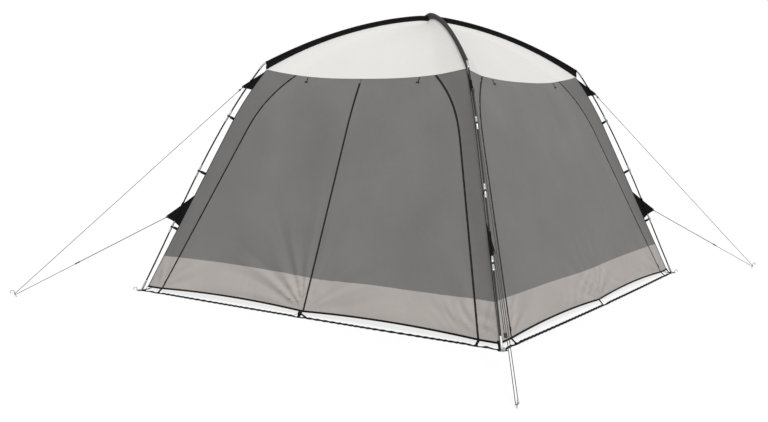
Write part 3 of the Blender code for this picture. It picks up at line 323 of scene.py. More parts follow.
def clothMesh(name, rows, thickness, mats, uvs=None, slotOf=None):
    # a thin closed sheet whose outer face is a grid of points, rows one above another and columns to the right
    high, wide = len(rows), len(rows[0])
    outer, inner = [], []
    for i, row in enumerate(rows):
        for j, p in enumerate(row):
            along = row[min(j + 1, wide - 1)] - row[max(j - 1, 0)]
            rising = rows[min(i + 1, high - 1)][j] - rows[max(i - 1, 0)][j]
            outer.append(p)
            inner.append(p - along.cross(rising).normalized() * thickness)
    flat = [uv for row in (uvs or measured(rows)) for uv in row]
    faces, slots = [], []
    count = high * wide
    for i in range(high - 1):
        slot = slotOf(i) if slotOf else 0
        for j in range(wide - 1):
            a, b = i * wide + j, i * wide + j + 1
            c, d = b + wide, a + wide
            faces += [(a, b, c, d), (a + count, d + count, c + count, b + count)]
            slots += [slot, slot]
    rim = [*range(wide), *(i * wide + wide - 1 for i in range(1, high))]
    rim += [*((high - 1) * wide + j for j in range(wide - 2, -1, -1)), *(i * wide for i in range(high - 2, 0, -1))]
    for a, b in zip(rim, rim[1:] + rim[:1]):
        faces.append((b, a, a + count, b + count))
        slots.append(slotOf(min(min(a, b) // wide, high - 2)) if slotOf else 0)
    return meshFrom(name, outer + inner, faces, flat + flat, mats, slots)


def sheetArea(rows):
    total = 0.0
    for low, high in zip(rows, rows[1:]):
        for a, b, c, d in zip(low, low[1:], high[1:], high):
            total += (c - a).cross(d - b).length / 2
    return total


def waysAlong(line):
    steps = [(b - a).normalized() for a, b in zip(line, line[1:])]
    return [(a + b).normalized() for a, b in zip([steps[0], *steps], [*steps, steps[-1]])]


def rounded(line, cut, steps=4):
    # a line of points with its corners turned into short curves
    out = [line[0]]
    for before, p, after in zip(line, line[1:], line[2:]):
        start = p + (before - p).normalized() * min(cut, (before - p).length / 2)
        end = p + (after - p).normalized() * min(cut, (after - p).length / 2)
        out += [start * (1 - t) ** 2 + p * 2 * t * (1 - t) + end * t**2 for t in spread(0, 1, steps)]
    return [*out, line[-1]]


def ringsMesh(name, rings, mat, closed=False, uvs=None, sharp=50, girth=0.03):
    # a skin over rings of points, with caps unless it closes on itself; its pattern is girth wide round it
    sides, count = len(rings[0]), len(rings)
    lengths = distancesAlong([sum(ring, Vector()) / sides for ring in rings])
    flat = uvs or [(i / sides * girth, s) for s in lengths for i in range(sides)]
    faces = []
    for k in range(count if closed else count - 1):
        for i in range(sides):
            j, n = (i + 1) % sides, (k + 1) % count
            faces.append((k * sides + i, k * sides + j, n * sides + j, n * sides + i))
    if not closed:
        faces += [tuple(reversed(range(sides))), tuple((count - 1) * sides + i for i in range(sides))]
    mesh = meshFrom(name, [p for ring in rings for p in ring], faces, flat, [mat], None, sharp)
    bm = bmesh.new()
    bm.from_mesh(mesh)
    bmesh.ops.recalc_face_normals(bm, faces=bm.faces)
    bm.to_mesh(mesh)
    bm.free()
    return mesh


def circle(middle, along, radius, sides, squareTo=up):
    side = along.cross(squareTo).normalized()
    rise = side.cross(along).normalized()
    return [middle + side * radius * math.cos(a) + rise * radius * math.sin(a) for a in fullTurn(sides)]


def squircle(count, flatX, flatY, start=0.0):
    # points round a circle of radius 1 that is pressed towards a square, the more so the lower the two powers
    points = []
    for a in fullTurn(count, start):
        x, y = math.cos(a), math.sin(a)
        points.append((math.copysign(abs(x) ** flatX, x), math.copysign(abs(y) ** flatY, y)))
    return points


def barMesh(name, stations, mat, sides=20, squareTo=up, girth=0.03):
    # a round bar through (point, radius) stations
    points = [p for i, (p, _) in enumerate(stations) if i == 0 or (p - stations[i - 1][0]).length > 1e-6]
    ways, rings, k = waysAlong(points), [], -1
    for p, radius in stations:
        if k < 0 or (p - points[k]).length > 1e-6:
            k += 1
        rings.append(circle(p, ways[k], radius, sides, squareTo))
    return ringsMesh(name, rings, mat, girth=girth)


def strapMesh(name, line, across, width, thickness, mat):
    # a flat strap with softened edges; across is one direction, or one for each point
    acrosses = across if isinstance(across, list) else [across] * len(line)
    w, t, cut = width / 2, thickness / 2, thickness * 0.28
    outline = [(-w, -t + cut), (-w + cut, -t), (w - cut, -t), (w, -t + cut)]
    outline += [(-x, -y) for x, y in outline]
    rings, uvs = [], []
    for p, way, side, s in zip(line, waysAlong(line), acrosses, distancesAlong(line)):
        rise = way.cross(side).normalized()
        rings.append([p + side * x + rise * y for x, y in outline])
        uvs += [(x + w, s) for x, _ in outline]
    return ringsMesh(name, rings, mat, uvs=uvs)


def ringMesh(name, middle, axis, radius, thickness, mat):
    # a round ring lying square to its axis
    a = axis.normalized()
    x = a.orthogonal().normalized()
    y, rings = a.cross(x), []
    for turn in fullTurn(28):
        out = x * math.cos(turn) + y * math.sin(turn)
        ring = [(radius + thickness * math.cos(b), thickness * math.sin(b)) for b in fullTurn(8)]
        rings.append([middle + out * reach + a * height for reach, height in ring])
    return ringsMesh(name, rings, mat, closed=True)


def plateMesh(name, outline, across, thickness, mat, cut=0.0004):
    # a flat plate with softened edges
    middle, rings = sum(outline, Vector()) / len(outline), []
    for depth, inset in ((-0.5, cut), (-0.5 + cut / thickness, 0), (0.5 - cut / thickness, 0), (0.5, cut)):
        rings.append([p + (middle - p).normalized() * inset + across * thickness * depth for p in outline])
    axis = across.orthogonal().normalized()
    uvs = [(p.dot(axis), p.dot(across.cross(axis))) for ring in rings for p in ring]
    return ringsMesh(name, rings, mat, uvs=uvs, sharp=35)


def joined(name, meshes):
    result, bm, mats = bpy.data.meshes.new(name), bmesh.new(), []
    for mesh in meshes:
        mats += [mat for mat in mesh.materials if mat not in mats]
        places = [mats.index(mesh.materials[p.material_index]) for p in mesh.polygons]
        mesh.polygons.foreach_set("material_index", places)
        bm.from_mesh(mesh)
    bm.to_mesh(result)
    bm.free()
    for mat in mats:
        result.materials.append(mat)
    return result


def addPiece(name, mesh, body, frameOf=None, replaced=()):
    if frameOf is not None:
        mesh.transform(frameOf)
    obj = addObject(name, mesh)
    if body:
        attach(obj, body)
    if replaced:
        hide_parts(*replaced)
    return obj


# Lines of the poles in a corner's upright plane: x out along the diagonal, z up

poleLine = {
    "foot": Vector((3 / root2, 0, 0)),
    "shoulder": Vector((1.728 / root2, 0, 1.645)),
    "footLean": 27.0,  # degrees from upright
    "shoulderLean": 37.3,
    "apex": {"a": 2.029, "b": 2.0476},
    "peak": (0.09, 0.08),  # slope and roundness of the arch where the poles cross
    "crown": 0.052,  # half the length of its level top
    "firstJoint": 0.518,
    "joints": 3,
}
poleOf = {"front_left": "a", "back_right": "a", "front_right": "b", "back_left": "b"}
foot, shoulder = poleLine["foot"], poleLine["shoulder"]


def curve(t, start, end, out, into):
    # a smooth curve from start to end, with its directions at both
    ends = start * (2 * t**3 - 3 * t**2 + 1) + end * (3 * t**2 - 2 * t**3)
    return ends + out * (t**3 - 2 * t**2 + t) + into * (t**3 - t**2)


def leaning(degrees):
    return Vector((-math.sin(math.radians(degrees)), 0, math.cos(math.radians(degrees))))


def legAt(t):
    reach = (shoulder - foot).length
    out, into = (leaning(poleLine[key]) * reach for key in ("footLean", "shoulderLean"))
    return curve(t, foot, shoulder, out, into)


def archHeight(r, apex):
    def peak(x):
        slope, roundness = poleLine["peak"]
        return slope * (math.hypot(x, roundness) - roundness)

    fall = (apex - shoulder.z - peak(shoulder.x)) / shoulder.x**2
    x = max(abs(r), poleLine["crown"])
    return apex - peak(x) - fall * x**2


def byLength(points):
    # a function from the length along a line of points to the point there, and the whole length
    reached = distancesAlong(points)

    def at(s):
        i = next((i for i in range(1, len(points)) if s <= reached[i]), len(points) - 1)
        return points[i - 1].lerp(points[i], (s - reached[i - 1]) / (reached[i] - reached[i - 1]))

    return at, reached[-1]


leg, legLength = byLength([legAt(t) for t in spread(0, 1, 200)])
legJoints = spread(poleLine["firstJoint"], legLength, poleLine["joints"])[:-1]


def legLengthAt(height):
    low, high = 0.0, legLength
    for _ in range(40):
        middle = (low + high) / 2
        low, high = (middle, high) if leg(middle).z < height else (low, middle)
    return low


def legWay(s):
    return (leg(s + 0.005) - leg(s - 0.005)).normalized()


# Cords: each goes from the upper gusset round its peg and back up through the lower gusset's eye to its runner

gussets = {
    "middle": {"top": 0.695, "bottom": 0.469, "tip": 0.533, "reach": 0.070, "hollow": 0.008, "tunnel": (0.512, 0.640)},
    "upper": {"top": 1.592, "bottom": 1.461, "tip": 1.473, "reach": 0.030, "hollow": 0.002, "tunnel": (1.470, 1.530)},
}
eyePlace = Vector((-0.0062, 0, 0.00496))  # from a gusset's tip
guylines = {
    "diameter": 0.004,
    "tail": 0.030,
    "bend": 0.0083,  # radius where the line turns, just over twice its thickness
    "knotHalf": 0.0022,  # half the distance of the strands in the knot
    "strands": 0.010,  # apart
    "pegs": {"a": (2.937, 0.087), "b": (3.105, -0.219)},  # out along the diagonal, and to the side of it
    "high": 0.027,  # where the line comes to its peg, and below where it leaves it
    "low": 0.016,
    "play": 0.0006,
    "knot": {"radius": 0.0048, "thickness": 0.0016, "turns": 5, "pitch": 0.0031, "place": 0.010},
    "runnerPlace": 0.60,
    "runner": (0.034, 0.020, 0.008),
    "runnerEdge": 0.0028,
    # along the runner from its end to its waist, with the shares of its width and depth there
    "runnerShape": ((-0.5, 0.80, 0.72), (-0.485, 0.86, 0.86), (-0.45, 0.93, 0.97), (-0.36, 1, 1), (-0.22, 0.95, 0.97),
                    (0, 0.89, 0.92)),
    "past": 0.014,  # how far the line goes on beyond the runner's middle
    "pegLean": 18.0,  # degrees
    "pegDiameter": 0.006,
    "pegStand": 0.044,
    "pegBend": 0.011,
    "pegTail": 0.006,
}
lineReach = (guylines["pegDiameter"] + guylines["diameter"]) / 2 + guylines["play"]
pegSlope = math.tan(math.radians(guylines["pegLean"]))


def gussetTip(kind):
    gusset = gussets[kind]
    return Vector((leg(legLengthAt(gusset["tip"])).x + gusset["reach"], 0, gusset["tip"]))


def gussetEye(kind):
    return gussetTip(kind) + eyePlace


def pegFrame(corner):
    x, y = guylines["pegs"][poleOf[corner]]
    heading = math.atan2(y, x - gussetTip("upper").x)
    return Matrix.Translation((x, y, 0)) @ Matrix.Rotation(heading, 4, "Z")


def strandSlope(corner, kind, z):
    tip = gussetTip(kind)
    return (tip.z - z) / (guylines["pegs"][poleOf[corner]][0] - tip.x)


def turnHeight(corner, t, run, before):
    # the line comes down round the peg as steeply as its upper strand and leaves it as its lower one climbs
    down, climb = strandSlope(corner, "upper", guylines["high"]), strandSlope(corner, "middle", guylines["low"])
    high, low = guylines["high"] + down * before, guylines["low"] + climb * before
    return curve(t, high, low, -down * run, climb * run)


def bight(half):
    # the loop in which the line turns: x back from its tip and y across, from one strand round to the other
    bend = guylines["bend"]
    past = math.acos((half + bend) / (2 * bend))  # how far it closes beyond its widest place
    x, y = bend + 2 * bend * math.sin(past), 2 * bend * math.cos(past)
    side = [(x - bend * math.sin(b), y - bend * math.cos(b)) for b in (0, past / 2)]
    side += [(bend - bend * math.cos(a), bend * math.sin(a)) for a in spread(math.pi / 2 + past, 0, 6)[:-1]]
    return [*side, (0, 0), *((x, -y) for x, y in reversed(side))]


def pegTurn(corner):
    loop = [Vector(p) for p in bight(lineReach)]
    gone, before = distancesAlong(loop), loop[0].x - lineReach
    heights = [turnHeight(corner, s / gone[-1], gone[-1], before) for s in gone]
    lean = heights[len(heights) // 2] * pegSlope
    return [pegFrame(corner) @ Vector((lean + lineReach - x, y, z)) for (x, y), z in zip(loop, heights)]


def eyeTurn(kind, target, half):
    eye = gussetEye(kind)
    way, across = (target - eye).normalized(), sideways
    for _ in range(4):
        across = up.cross(way).normalized()
        way = (target - eye - across * half).normalized()
    return [eye + way * x + across * y for x, y in bight(half)], way, across


def routeOf(corner):
    # the cord's route, and where its runner sits: its middle, the way towards the gusset and across the strands
    around, half, low = pegTurn(corner), guylines["strands"] / 2, guylines["low"]
    upper, way, _ = eyeTurn("upper", around[0], guylines["knotHalf"])
    turn, back, across = eyeTurn("middle", around[-1], half)
    step = -across * guylines["strands"]
    near = gussetEye("middle") + (back + across) * half
    far = pegFrame(corner) @ Vector((low * pegSlope, -lineReach, low))
    at = turn[0] + back * (near.lerp(far, guylines["runnerPlace"]) - turn[0]).dot(back)
    rise = [around[-1].lerp(turn[0], t) for t in spread(0, 1, 5)[1:-1]]
    fall = [upper[0].lerp(around[0], t) for t in spread(0, 1, 6)[1:-1]]
    line = [upper[-1] + way * guylines["tail"], *reversed(upper), *fall, *around, *rise, *turn]
    return [*line, at + step + back * guylines["past"]], at + step / 2, -back, step


def knotMesh(line):
    # turns of line wound tightly round the strands that come out of the upper gusset's eye
    knot, last = guylines["knot"], len(bight(guylines["knotHalf"]))
    way = (line[0] - line[1]).normalized()
    middle = (line[1] + line[last]) / 2 + way * knot["place"]
    meshes = []
    for i in range(knot["turns"]):
        at = middle + way * knot["pitch"] * (i - (knot["turns"] - 1) / 2)
        meshes.append(ringMesh("wrap", at, way + up * 0.12, knot["radius"], knot["thickness"], "line"))
    return joined("knot", meshes)


def makeGuyline(corner, line):
    place, thick = cornerFrames[corner], guylines["diameter"]
    path = [place @ p for p in line]
    length = round(distancesAlong(path)[-1], 3)
    mesh = barMesh("guyline", [(p, thick / 2) for p in path], "line", 10, girth=math.pi * thick)
    cord = addPiece(f"guyline_line_{corner}", mesh, "root", None, [f"guyline_{corner}"])
    knot = addPiece(f"guyline_knot_{corner}", knotMesh(line), "root", place)
    tuple(path[0].lerp(path[1], 0.5))
    [tuple(p) for p in path]
    print("guyline", corner, length)


routes = {corner: routeOf(corner) for corner in cornerFrames}
for corner, route in routes.items():
    makeGuyline(corner, route[0])
print("guylines made")


# Runners and pegs of the guylines

def runnerMesh():
    # a moulded bar with a waist and a bore for each strand; x runs along the line towards the gusset
    length, width, depth = guylines["runner"]
    edge, half, outline = guylines["runnerEdge"], guylines["strands"] / 2, []
    for y, z in ((1, -1), (1, 1), (-1, 1), (-1, -1)):
        corner = Vector((0, y * (width / 2 - edge), z * (depth / 2 - edge)))
        for a in spread(-45, 45, 4):
            turn = math.atan2(z, y) + math.radians(a)
            outline.append(corner + Vector((0, math.cos(turn), math.sin(turn))) * edge)
    shape = guylines["runnerShape"]
    shape = [*shape, *((-s, wide, deep) for s, wide, deep in reversed(shape[:-1]))]
    rings = [[Vector((s * length, p.y * wide, p.z * deep)) for p in outline] for s, wide, deep in shape]
    parts = [ringsMesh("runner", rings, "moulded")]
    for y in (-half, half):
        for x in (-length / 2, length / 2):
            parts.append(ringMesh("lip", Vector((x, y, 0)), rightwards, 0.0031, 0.0007, "moulded"))
    for x in (-0.004, 0, 0.004):
        line = [Vector((x, y, depth / 2 * z)) for y, z in ((-0.007, 0.92), (0, 0.98), (0.007, 0.92))]
        parts.append(barMesh("grip", [(p, 0.0007) for p in line], "moulded", 8))
    return joined("runner", parts)


def pegMesh(stand, lean):
    # a bent steel pin: an upright bar whose top turns over away from the shelter
    way, radius, half = leaning(-lean), guylines["pegBend"], guylines["pegDiameter"] / 2
    out, top = Vector((way.z, 0, -way.x)), way * stand
    line = [way * (0.0012 + stand * i / 3) for i in range(3)] + [top]
    for a in spread(0, math.pi, 12)[1:]:
        line.append(top + out * radius + (way * math.sin(a) - out * math.cos(a)) * radius)
    line.append(line[-1] - way * guylines["pegTail"])
    end = (line[-1] - line[-2]).normalized()
    stations = [(p, half) for p in line] + [(line[-1] + end * s, half * r) for s, r in ((0.0008, 0.8), (0.0012, 0.4))]
    return barMesh("peg", stations, "steel", 16, sideways)


for corner, (line, runnerAt, way, step) in routes.items():
    place, across = cornerFrames[corner], step.normalized()
    held = Matrix((way, across, way.cross(across))).transposed().to_4x4()
    held.translation = runnerAt
    replaced = [f"runner_{corner}"]
    addPiece(f"runner_moulding_{corner}", runnerMesh(), f"runner_{corner}", place @ held, replaced)
    mesh = pegMesh(guylines["pegStand"], guylines["pegLean"])
    addPiece(f"guy_pin_{corner}", mesh, "root", place @ pegFrame(corner), [f"guy_peg_{corner}"])
print("runners and pegs made")


# Poles with their ferrules, elbows and foot caps

poleParts = {
    "radius": 0.0055,
    "rod": (0.07, 0.03),  # how far its ends lie in the foot cap and the elbow
    "ferrule": (0.045, 0.007),  # half length, radius
    "elbow": (0.045, 0.0156),  # arm, bend
    "elbowSample": 0.052,  # how far from the shoulder its arms' directions are taken
    "footCap": (0.085, 0.00775),
}


def ferruleStations(middle, way):
    half, radius = poleParts["ferrule"]
    stations = []
    for s, r in ((1, -0.0011), (0.985, -0.0004), (0.965, 0), (0.80, 0), (0.775, -0.0005), (0.75, 0)):
        stations.append((middle - way * half * s, radius + r))
    return stations + [(middle * 2 - p, r) for p, r in reversed(stations)]


def elbowMesh(kind):
    arm, bend = poleParts["elbow"]
    radius, sample = poleParts["ferrule"][1], poleParts["elbowSample"]
    down = (leg(legLength - sample) - shoulder).normalized()
    x = shoulder.x - sample
    along = (Vector((x, 0, archHeight(x, poleLine["apex"][kind]))) - shoulder).normalized()
    line = rounded([shoulder + down * arm, shoulder, shoulder + along * arm], bend, 8)
    ends = [(0.0, -0.0012), (0.0007, -0.0005), (0.002, 0)]
    stations = [(line[0] - down * s, radius + r) for s, r in ends]
    stations += [(p, radius) for p in line[1:-1]]
    stations += [(line[-1] - along * s, radius + r) for s, r in reversed(ends)]
    return barMesh("elbow", stations, "steel", 24, sideways)


def footCapMesh():
    length, radius = poleParts["footCap"]
    way = (leg(length) - leg(0)).normalized()
    steps = ((0.0013, 0.0026), (0.0021, 0.0042), (0.0032, 0.0062), (0.0041, 0.0076), (0.0048, radius))
    steps += ((0.060, radius), (0.0625, radius - 0.0006), (0.065, radius), (length - 0.004, radius))
    steps += ((length - 0.0015, radius - 0.0006), (length, radius - 0.0018))
    return barMesh("foot", [(foot + way * s, r) for s, r in steps], "steel", 24)


for corner, place in cornerFrames.items():
    low, high = poleParts["rod"]
    mesh = barMesh("pole", [(leg(s), poleParts["radius"]) for s in spread(low, legLength - high, 60)], "pole", 20)
    addPiece(f"leg_rods_{corner}", mesh, "root", place, [f"leg_pole_{corner}"])
    ferrules = [barMesh("ferrule", ferruleStations(leg(s), legWay(s)), "steel", 24) for s in legJoints]
    addPiece(f"leg_ferrules_{corner}", joined("ferrules", ferrules), "root", place)
    replaced = [f"shoulder_elbow_{corner}"]
    addPiece(f"bent_elbow_{corner}", elbowMesh(poleOf[corner]), "root", place, replaced)
    addPiece(f"foot_cap_{corner}", footCapMesh(), "root", place, [f"pole_foot_{corner}"])
for name in ("arch_pole_a", "arch_pole_b"):
    mesh = frame["nodes"][name].data
    for i in range(len(mesh.materials)):
        mesh.materials[i] = materials["pole"]
print("poles made")


# Walls in the frame of the front wall: x along it, outward -y

walls = {
    "foot": 1.475,
    "turnHeight": 1.20,
    "zipInset": 0.135,
    "zipTurnHeight": 1.10,
    "zipTurnIn": 0.125,
    "zipTop": 1.565,
    "zipWidth": 0.014,
    "stripIn": 0.0045,  # from the zip's outer line to the edge of the corner strip
    "doorIn": 0.0095,  # and to the edge of the door
    "seamOut": 0.001,  # from the wall to its seams
    "draw": 0.032,  # how much more the doors lean in than the corner seams do
    "roofCorner": 1.607,
    "roofMiddle": 1.541,
    "seamPower": 2.6,
    "hem": 0.024,
    "hemRise": 0.018,
    "skirt": 0.250,
    "thickness": 0.0010,
    "face": 0.0006,  # of the cloth, off the wall's plane
    "rise": 1.52,  # from hem to seam, upright
    "slant": 1.06,  # length of cloth to a metre upright
    "rows": (0.226, 1.32),  # heights that the cells share out, of the skirt and of the cloth above it
    "band": (1.532, 1.478),  # heights between which a raised door bends
    "cell": 0.0145,
}
hinge = Vector(joints["door_front_left_lift"]["pos_m"])
slideWay = Vector(joints["zip_slider_front_centre_slide"]["axis"])
doorSlope = slideWay.y / slideWay.z
wallSlope = doorSlope - walls["draw"]
wallTurn = (walls["foot"] - doorSlope * hinge.z + hinge.y) / (hinge.z - walls["turnHeight"]) ** 2
wallNormal = Vector((0, -1, doorSlope)).normalized()


def wallHalf(z):
    return walls["foot"] - wallSlope * z - wallTurn * max(0, z - walls["turnHeight"]) ** 2


def zipHalf(z):
    turn = max(0, z - walls["zipTurnHeight"]) / (walls["zipTop"] - walls["zipTurnHeight"])
    return wallHalf(z) - walls["zipInset"] - walls["zipTurnIn"] * turn**3


def wallAt(x, z):
    # how far the wall stands from the middle: drawn in across its doors, and less towards the corner seams
    edge = zipHalf(z) + 0.002
    out = max(0, min(1, (abs(x) - edge) / (wallHalf(z) - edge)))
    return wallHalf(z) - walls["draw"] * z * (1 - out)


def zipSlant(z):
    # how much wider a strip along the zip is when it is measured level
    return math.hypot(1, (zipHalf(z + 0.001) - zipHalf(z - 0.001)) / 0.002)


def zipMiddle(z):
    return zipHalf(z) - walls["zipWidth"] / 2 * zipSlant(z)


roofCorner = wallHalf(walls["roofCorner"]) + walls["seamOut"]


def seamHeight(x):
    rise = walls["roofCorner"] - walls["roofMiddle"]
    return walls["roofMiddle"] + rise * min(1, abs(x) / roofCorner) ** walls["seamPower"]


def seamMeets(xAt):
    # the height at which a line up the wall, given as x at a height, comes to the roof seam
    z = 1.56
    for _ in range(8):
        z = seamHeight(xAt(z))
    return z


def seamEdge(x):
    return wallAt(x, seamHeight(x)) + walls["seamOut"]


skirtDips = {
    # where the skirt's seam hangs below its height: its middle, half its width and how far
    "front": [(0.08, 0.30, 0.013), (-0.85, 0.45, -0.008), (0.80, 0.70, 0.004)],
    "right": [(-0.10, 0.45, 0.012), (-1.00, 0.40, 0.004)],
    "back": [(0.5, 0.5, 0.012), (-0.9, 0.4, 0.008)],
    "left": [(-0.4, 0.5, 0.012), (1.0, 0.4, 0.008)],
}


def skirtAt(side, x):
    dips = (depth * math.exp(-(((x - at) / reach) ** 2)) for at, reach, depth in skirtDips[side])
    return walls["skirt"] - sum(dips)


def flatHem(x):
    return walls["hem"]


def hemLow(x):
    share = min(1, abs(x) / zipHalf(walls["hem"]))
    return walls["hem"] + walls["hemRise"] * (1 - (2 * share - 1) ** 2) * (abs(x) < zipHalf(walls["hem"]))


creases = {
    # per side: where a pull starts, how far it reaches, how many rays it throws and how deep they are
    "front": [((0, 0.03), 0.60, 19, 0.0125), ((-1.33, 0.03), 0.34, 15, 0.0060), ((1.33, 0.03), 0.34, 15, 0.0060)],
    "right": [((0, 0.03), 0.38, 15, 0.0070), ((-1.33, 0.03), 0.40, 14, 0.0060), ((1.33, 0.03), 0.38, 14, 0.0060)],
    "back": [((0, 0.03), 0.42, 16, 0.0075), ((-1.33, 0.03), 0.34, 14, 0.0060), ((1.33, 0.03), 0.38, 14, 0.0060)],
    "left": [((0, 0.03), 0.42, 14, 0.0075), ((-1.33, 0.03), 0.38, 15, 0.0060), ((1.33, 0.03), 0.34, 15, 0.0060)],
}
seeds = {"front": 3.1, "right": 17.4, "back": 29.8, "left": 43.5}
folds = {
    # what stands off the flat wall: how far, and how closely it follows across and up
    "waves": (0.0060, 5.0, 3.2),
    "crumple": (0.0012, 22, 16),
    "belly": (0.034, 1.3, 1.2),
    # how far, how far apart, and how far it reaches
    "pucker": (0.0014, 0.062, 0.045),
    "pleat": (0.0016, 0.048, 0.07),
    # how far on each wall
    "skirt": {"front": 0.0036, "right": 0.0026, "back": 0.0026, "left": 0.0026},
    "skirtPitch": 0.105,
    "rightLeaf": 0.5,  # how much of the centre zip's pull comes into the right leaf
}


def wallNoise(kind, x, z, seed):
    size, across, rising = folds[kind]
    return size * wobble(x * across, z * rising, seed)


def ripple(kind, along, reach):
    size, _, fade = folds[kind]
    return size * math.sin(2 * math.pi * along) * math.exp(-reach / fade)


def creaseRelief(side, x, z):
    relief, seed = 0.0, seeds[side]
    for (ax, az), reach, count, size in creases[side]:
        d = math.hypot(x - ax, z - az)
        if d < reach * 2.2:
            angle = math.atan2(z - az, x - ax)
            ray = math.sin(angle * count + 3.0 * wobble(angle * 2.5, d * 1.5, seed))
            size *= folds["rightLeaf"] if side == "front" and ax == 0 and x > 0 else 1.0
            relief += size * ray * abs(ray) * math.exp(-((d / reach) ** 2)) * softened(d / 0.05)
    return relief


def wallRelief(side, x, z):
    # how far the cloth stands off the flat wall; it is held at its seams and zips, and nothing stands off the hem
    seed, top, fromSeam = seeds[side], seamHeight(x) - z, wallHalf(z) - abs(x)
    fromZip = abs(abs(x) - zipMiddle(z))
    free = min(fromZip, abs(x) if side == "front" else 1.0)
    held = softened(free / 0.05) * softened(fromSeam / 0.04) * softened(top / 0.04)
    slack = softened(free / 0.35) * softened(fromSeam / 0.20) * softened(top / 0.30)
    slack *= softened((z - walls["hem"]) / 0.35)
    relief = wallNoise("waves", x, z, seed + 7) + wallNoise("crumple", x, z, seed + 11) + creaseRelief(side, x, z)
    along = z / folds["pucker"][1] + 1.4 * wobble(z * 4, seed, 0)
    pucker = ripple("pucker", along, fromZip) * softened(fromZip / 0.008)
    along = x / folds["pleat"][1] + 1.2 * wobble(x * 5, seed, 5)
    pleat = ripple("pleat", along, top) * softened(top / 0.01)
    pleat *= softened((abs(x) - 0.15) / 0.5) * softened(fromSeam / 0.04)
    if z < walls["skirt"]:
        slant = (x + (z if x > 0 else -z) * 0.8) / folds["skirtPitch"] + 3.2 * wobble(x * 2.4, z * 3, seed + 2)
        fade = softened((z - walls["hem"]) / 0.03) * softened((walls["skirt"] - z) / 0.05)
        patchy = softened(0.5 + 1.6 * wobble(x * 1.9, z * 2, seed + 5))
        relief += folds["skirt"][side] * math.sin(2 * math.pi * slant) * fade * patchy
    flat = softened((z - walls["hem"] - walls["hemRise"]) / 0.05)
    return (relief * held + pucker) * flat + pleat + wallNoise("belly", x, z, seed) * slack


def onWall(side, x, z, out=0.0):
    # a point of the cloth's face, raised square to the wall by out
    return Vector((x, -wallAt(x, z), z)) + wallNormal * (wallRelief(side, x, z) + out)


def clothRows(side, leftAt, rightAt, lowAt):
    # a grid over a wall between two edges given as x at a height, from the hem to the roof seam
    wide = max(2, round((rightAt(0.6) - leftAt(0.6)) / walls["cell"]))
    low, high = (round(height / walls["cell"]) for height in walls["rows"])

    def xAt(share, z):
        return leftAt(z) + (rightAt(z) - leftAt(z)) * share

    columns = []
    for share in spread(0, 1, wide):
        bottom, seam = lowAt(xAt(share, walls["hem"])), skirtAt(side, xAt(share, walls["skirt"]))
        columns.append((share, seamMeets(lambda z: xAt(share, z)), bottom, seam))
    rows, uvs = [], []
    for i in range(low + high + 1):
        rows.append([])
        uvs.append([])
        for share, top, bottom, seam in columns:
            z = bottom + (seam - bottom) * i / low if i <= low else seam + (top - seam) * (i - low) / high
            x = xAt(share, z)
            rows[-1].append(onWall(side, x, z, walls["face"]))
            uvs[-1].append((x, z * walls["slant"]))
    return rows, uvs, lambda i: 1 if i < low else 0


def makeCloth(name, side, body, edges, lowAt, replaced, door=None):
    rows, uvs, slotOf = clothRows(side, *edges, lowAt)
    # the corner panels take the darker cloth, which is painted shade
    mesh = clothMesh(name, rows, walls["thickness"], ["wall" if door else "panel", "skirt"], uvs, slotOf)
    obj = addPiece(name, mesh, body, sideFrames[side], replaced)
    flat = (round(max(b[-1][0] - b[0][0] for b in uvs), 3), round(walls["rise"] * walls["slant"], 3))
    round(sheetArea(rows), 3)
    if door:
        hangDoor(obj, side, door)


def hangDoor(obj, side, door):
    # works out the band below the roof seam where the cloth would turn over, which is not used, and bakes the piece's
    # placing into its mesh
    start, end = (tuple(sideFrames[side] @ Vector((0, -wallAt(0, z), z))) for z in walls["band"])
    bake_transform(obj)


doors = {
    "front": ("door_front_left", "door_front_right"),
    "right": ("door_right",),
    "back": ("door_back",),
    "left": ("door_left",),
}


def seamEdgeAt(z):
    return wallHalf(z) - 0.0002


def stripEdge(z):
    return zipHalf(z) - walls["stripIn"] * zipSlant(z)


def doorEdge(z):
    return zipHalf(z) - walls["doorIn"] * zipSlant(z)


def centreGap(z):
    return 0.002


def mirrored(edge):
    return lambda z: -edge(z)


for side in sideFrames:
    edges = (mirrored(seamEdgeAt), mirrored(stripEdge))
    makeCloth(f"corner_panel_{side}_left", side, "root", edges, flatHem, [f"wall_surround_{side}"])
    makeCloth(f"corner_panel_{side}_right", side, "root", (stripEdge, seamEdgeAt), flatHem, [])
    leaves = {f"_{side}": (mirrored(doorEdge), doorEdge)}
    if side == "front":
        leaves = {"_front_left": (mirrored(doorEdge), mirrored(centreGap)), "_front_right": (centreGap, doorEdge)}
    for leaf, edges in leaves.items():
        makeCloth("door_cloth" + leaf, side, None, edges, hemLow, [f"door{leaf}_leaf"], "door" + leaf)
print("walls and doors made")


# Zips: a tape on each side of the coil; the door's tape is joined to the coil, and neither is attached to the door

zips = {
    "tape": 0.0065,
    "tapePlaces": ((0.0035, 0.0012), (-0.0029, 0.0011)),  # the door's tape and the other: towards the door, outward
    "coil": (0.0017, 0.0018),  # half width, height of its middle
    "centreTop": 1.511,
    "hemTape": (0.013, 0.0026),
    "slider": 0.085,
    "sliderOut": 0.0015,
}


def upZip(xAt, top, out, shift):
    # points up a wall along a zip, shifted sideways in the wall
    points, count, low = [], 60, walls["hem"] + 0.002
    for z in spread(low, top, count):
        x = xAt(z) + shift * zipSlant(z)
        points.append(Vector((x, -wallAt(x, z), z)) + wallNormal * out)
    return points


def tapeMesh(xAt, top, shift, out):
    line = upZip(xAt, top, out, shift)
    across = [way.cross(wallNormal).normalized() for way in waysAlong(line)]
    return strapMesh("tape", line, across, zips["tape"], 0.0010, "tape")


def coilMesh(xAt, top):
    width, out = zips["coil"]
    return barMesh("coil", [(p, width) for p in upZip(xAt, top, out, 0)], "coil", 10, wallNormal)


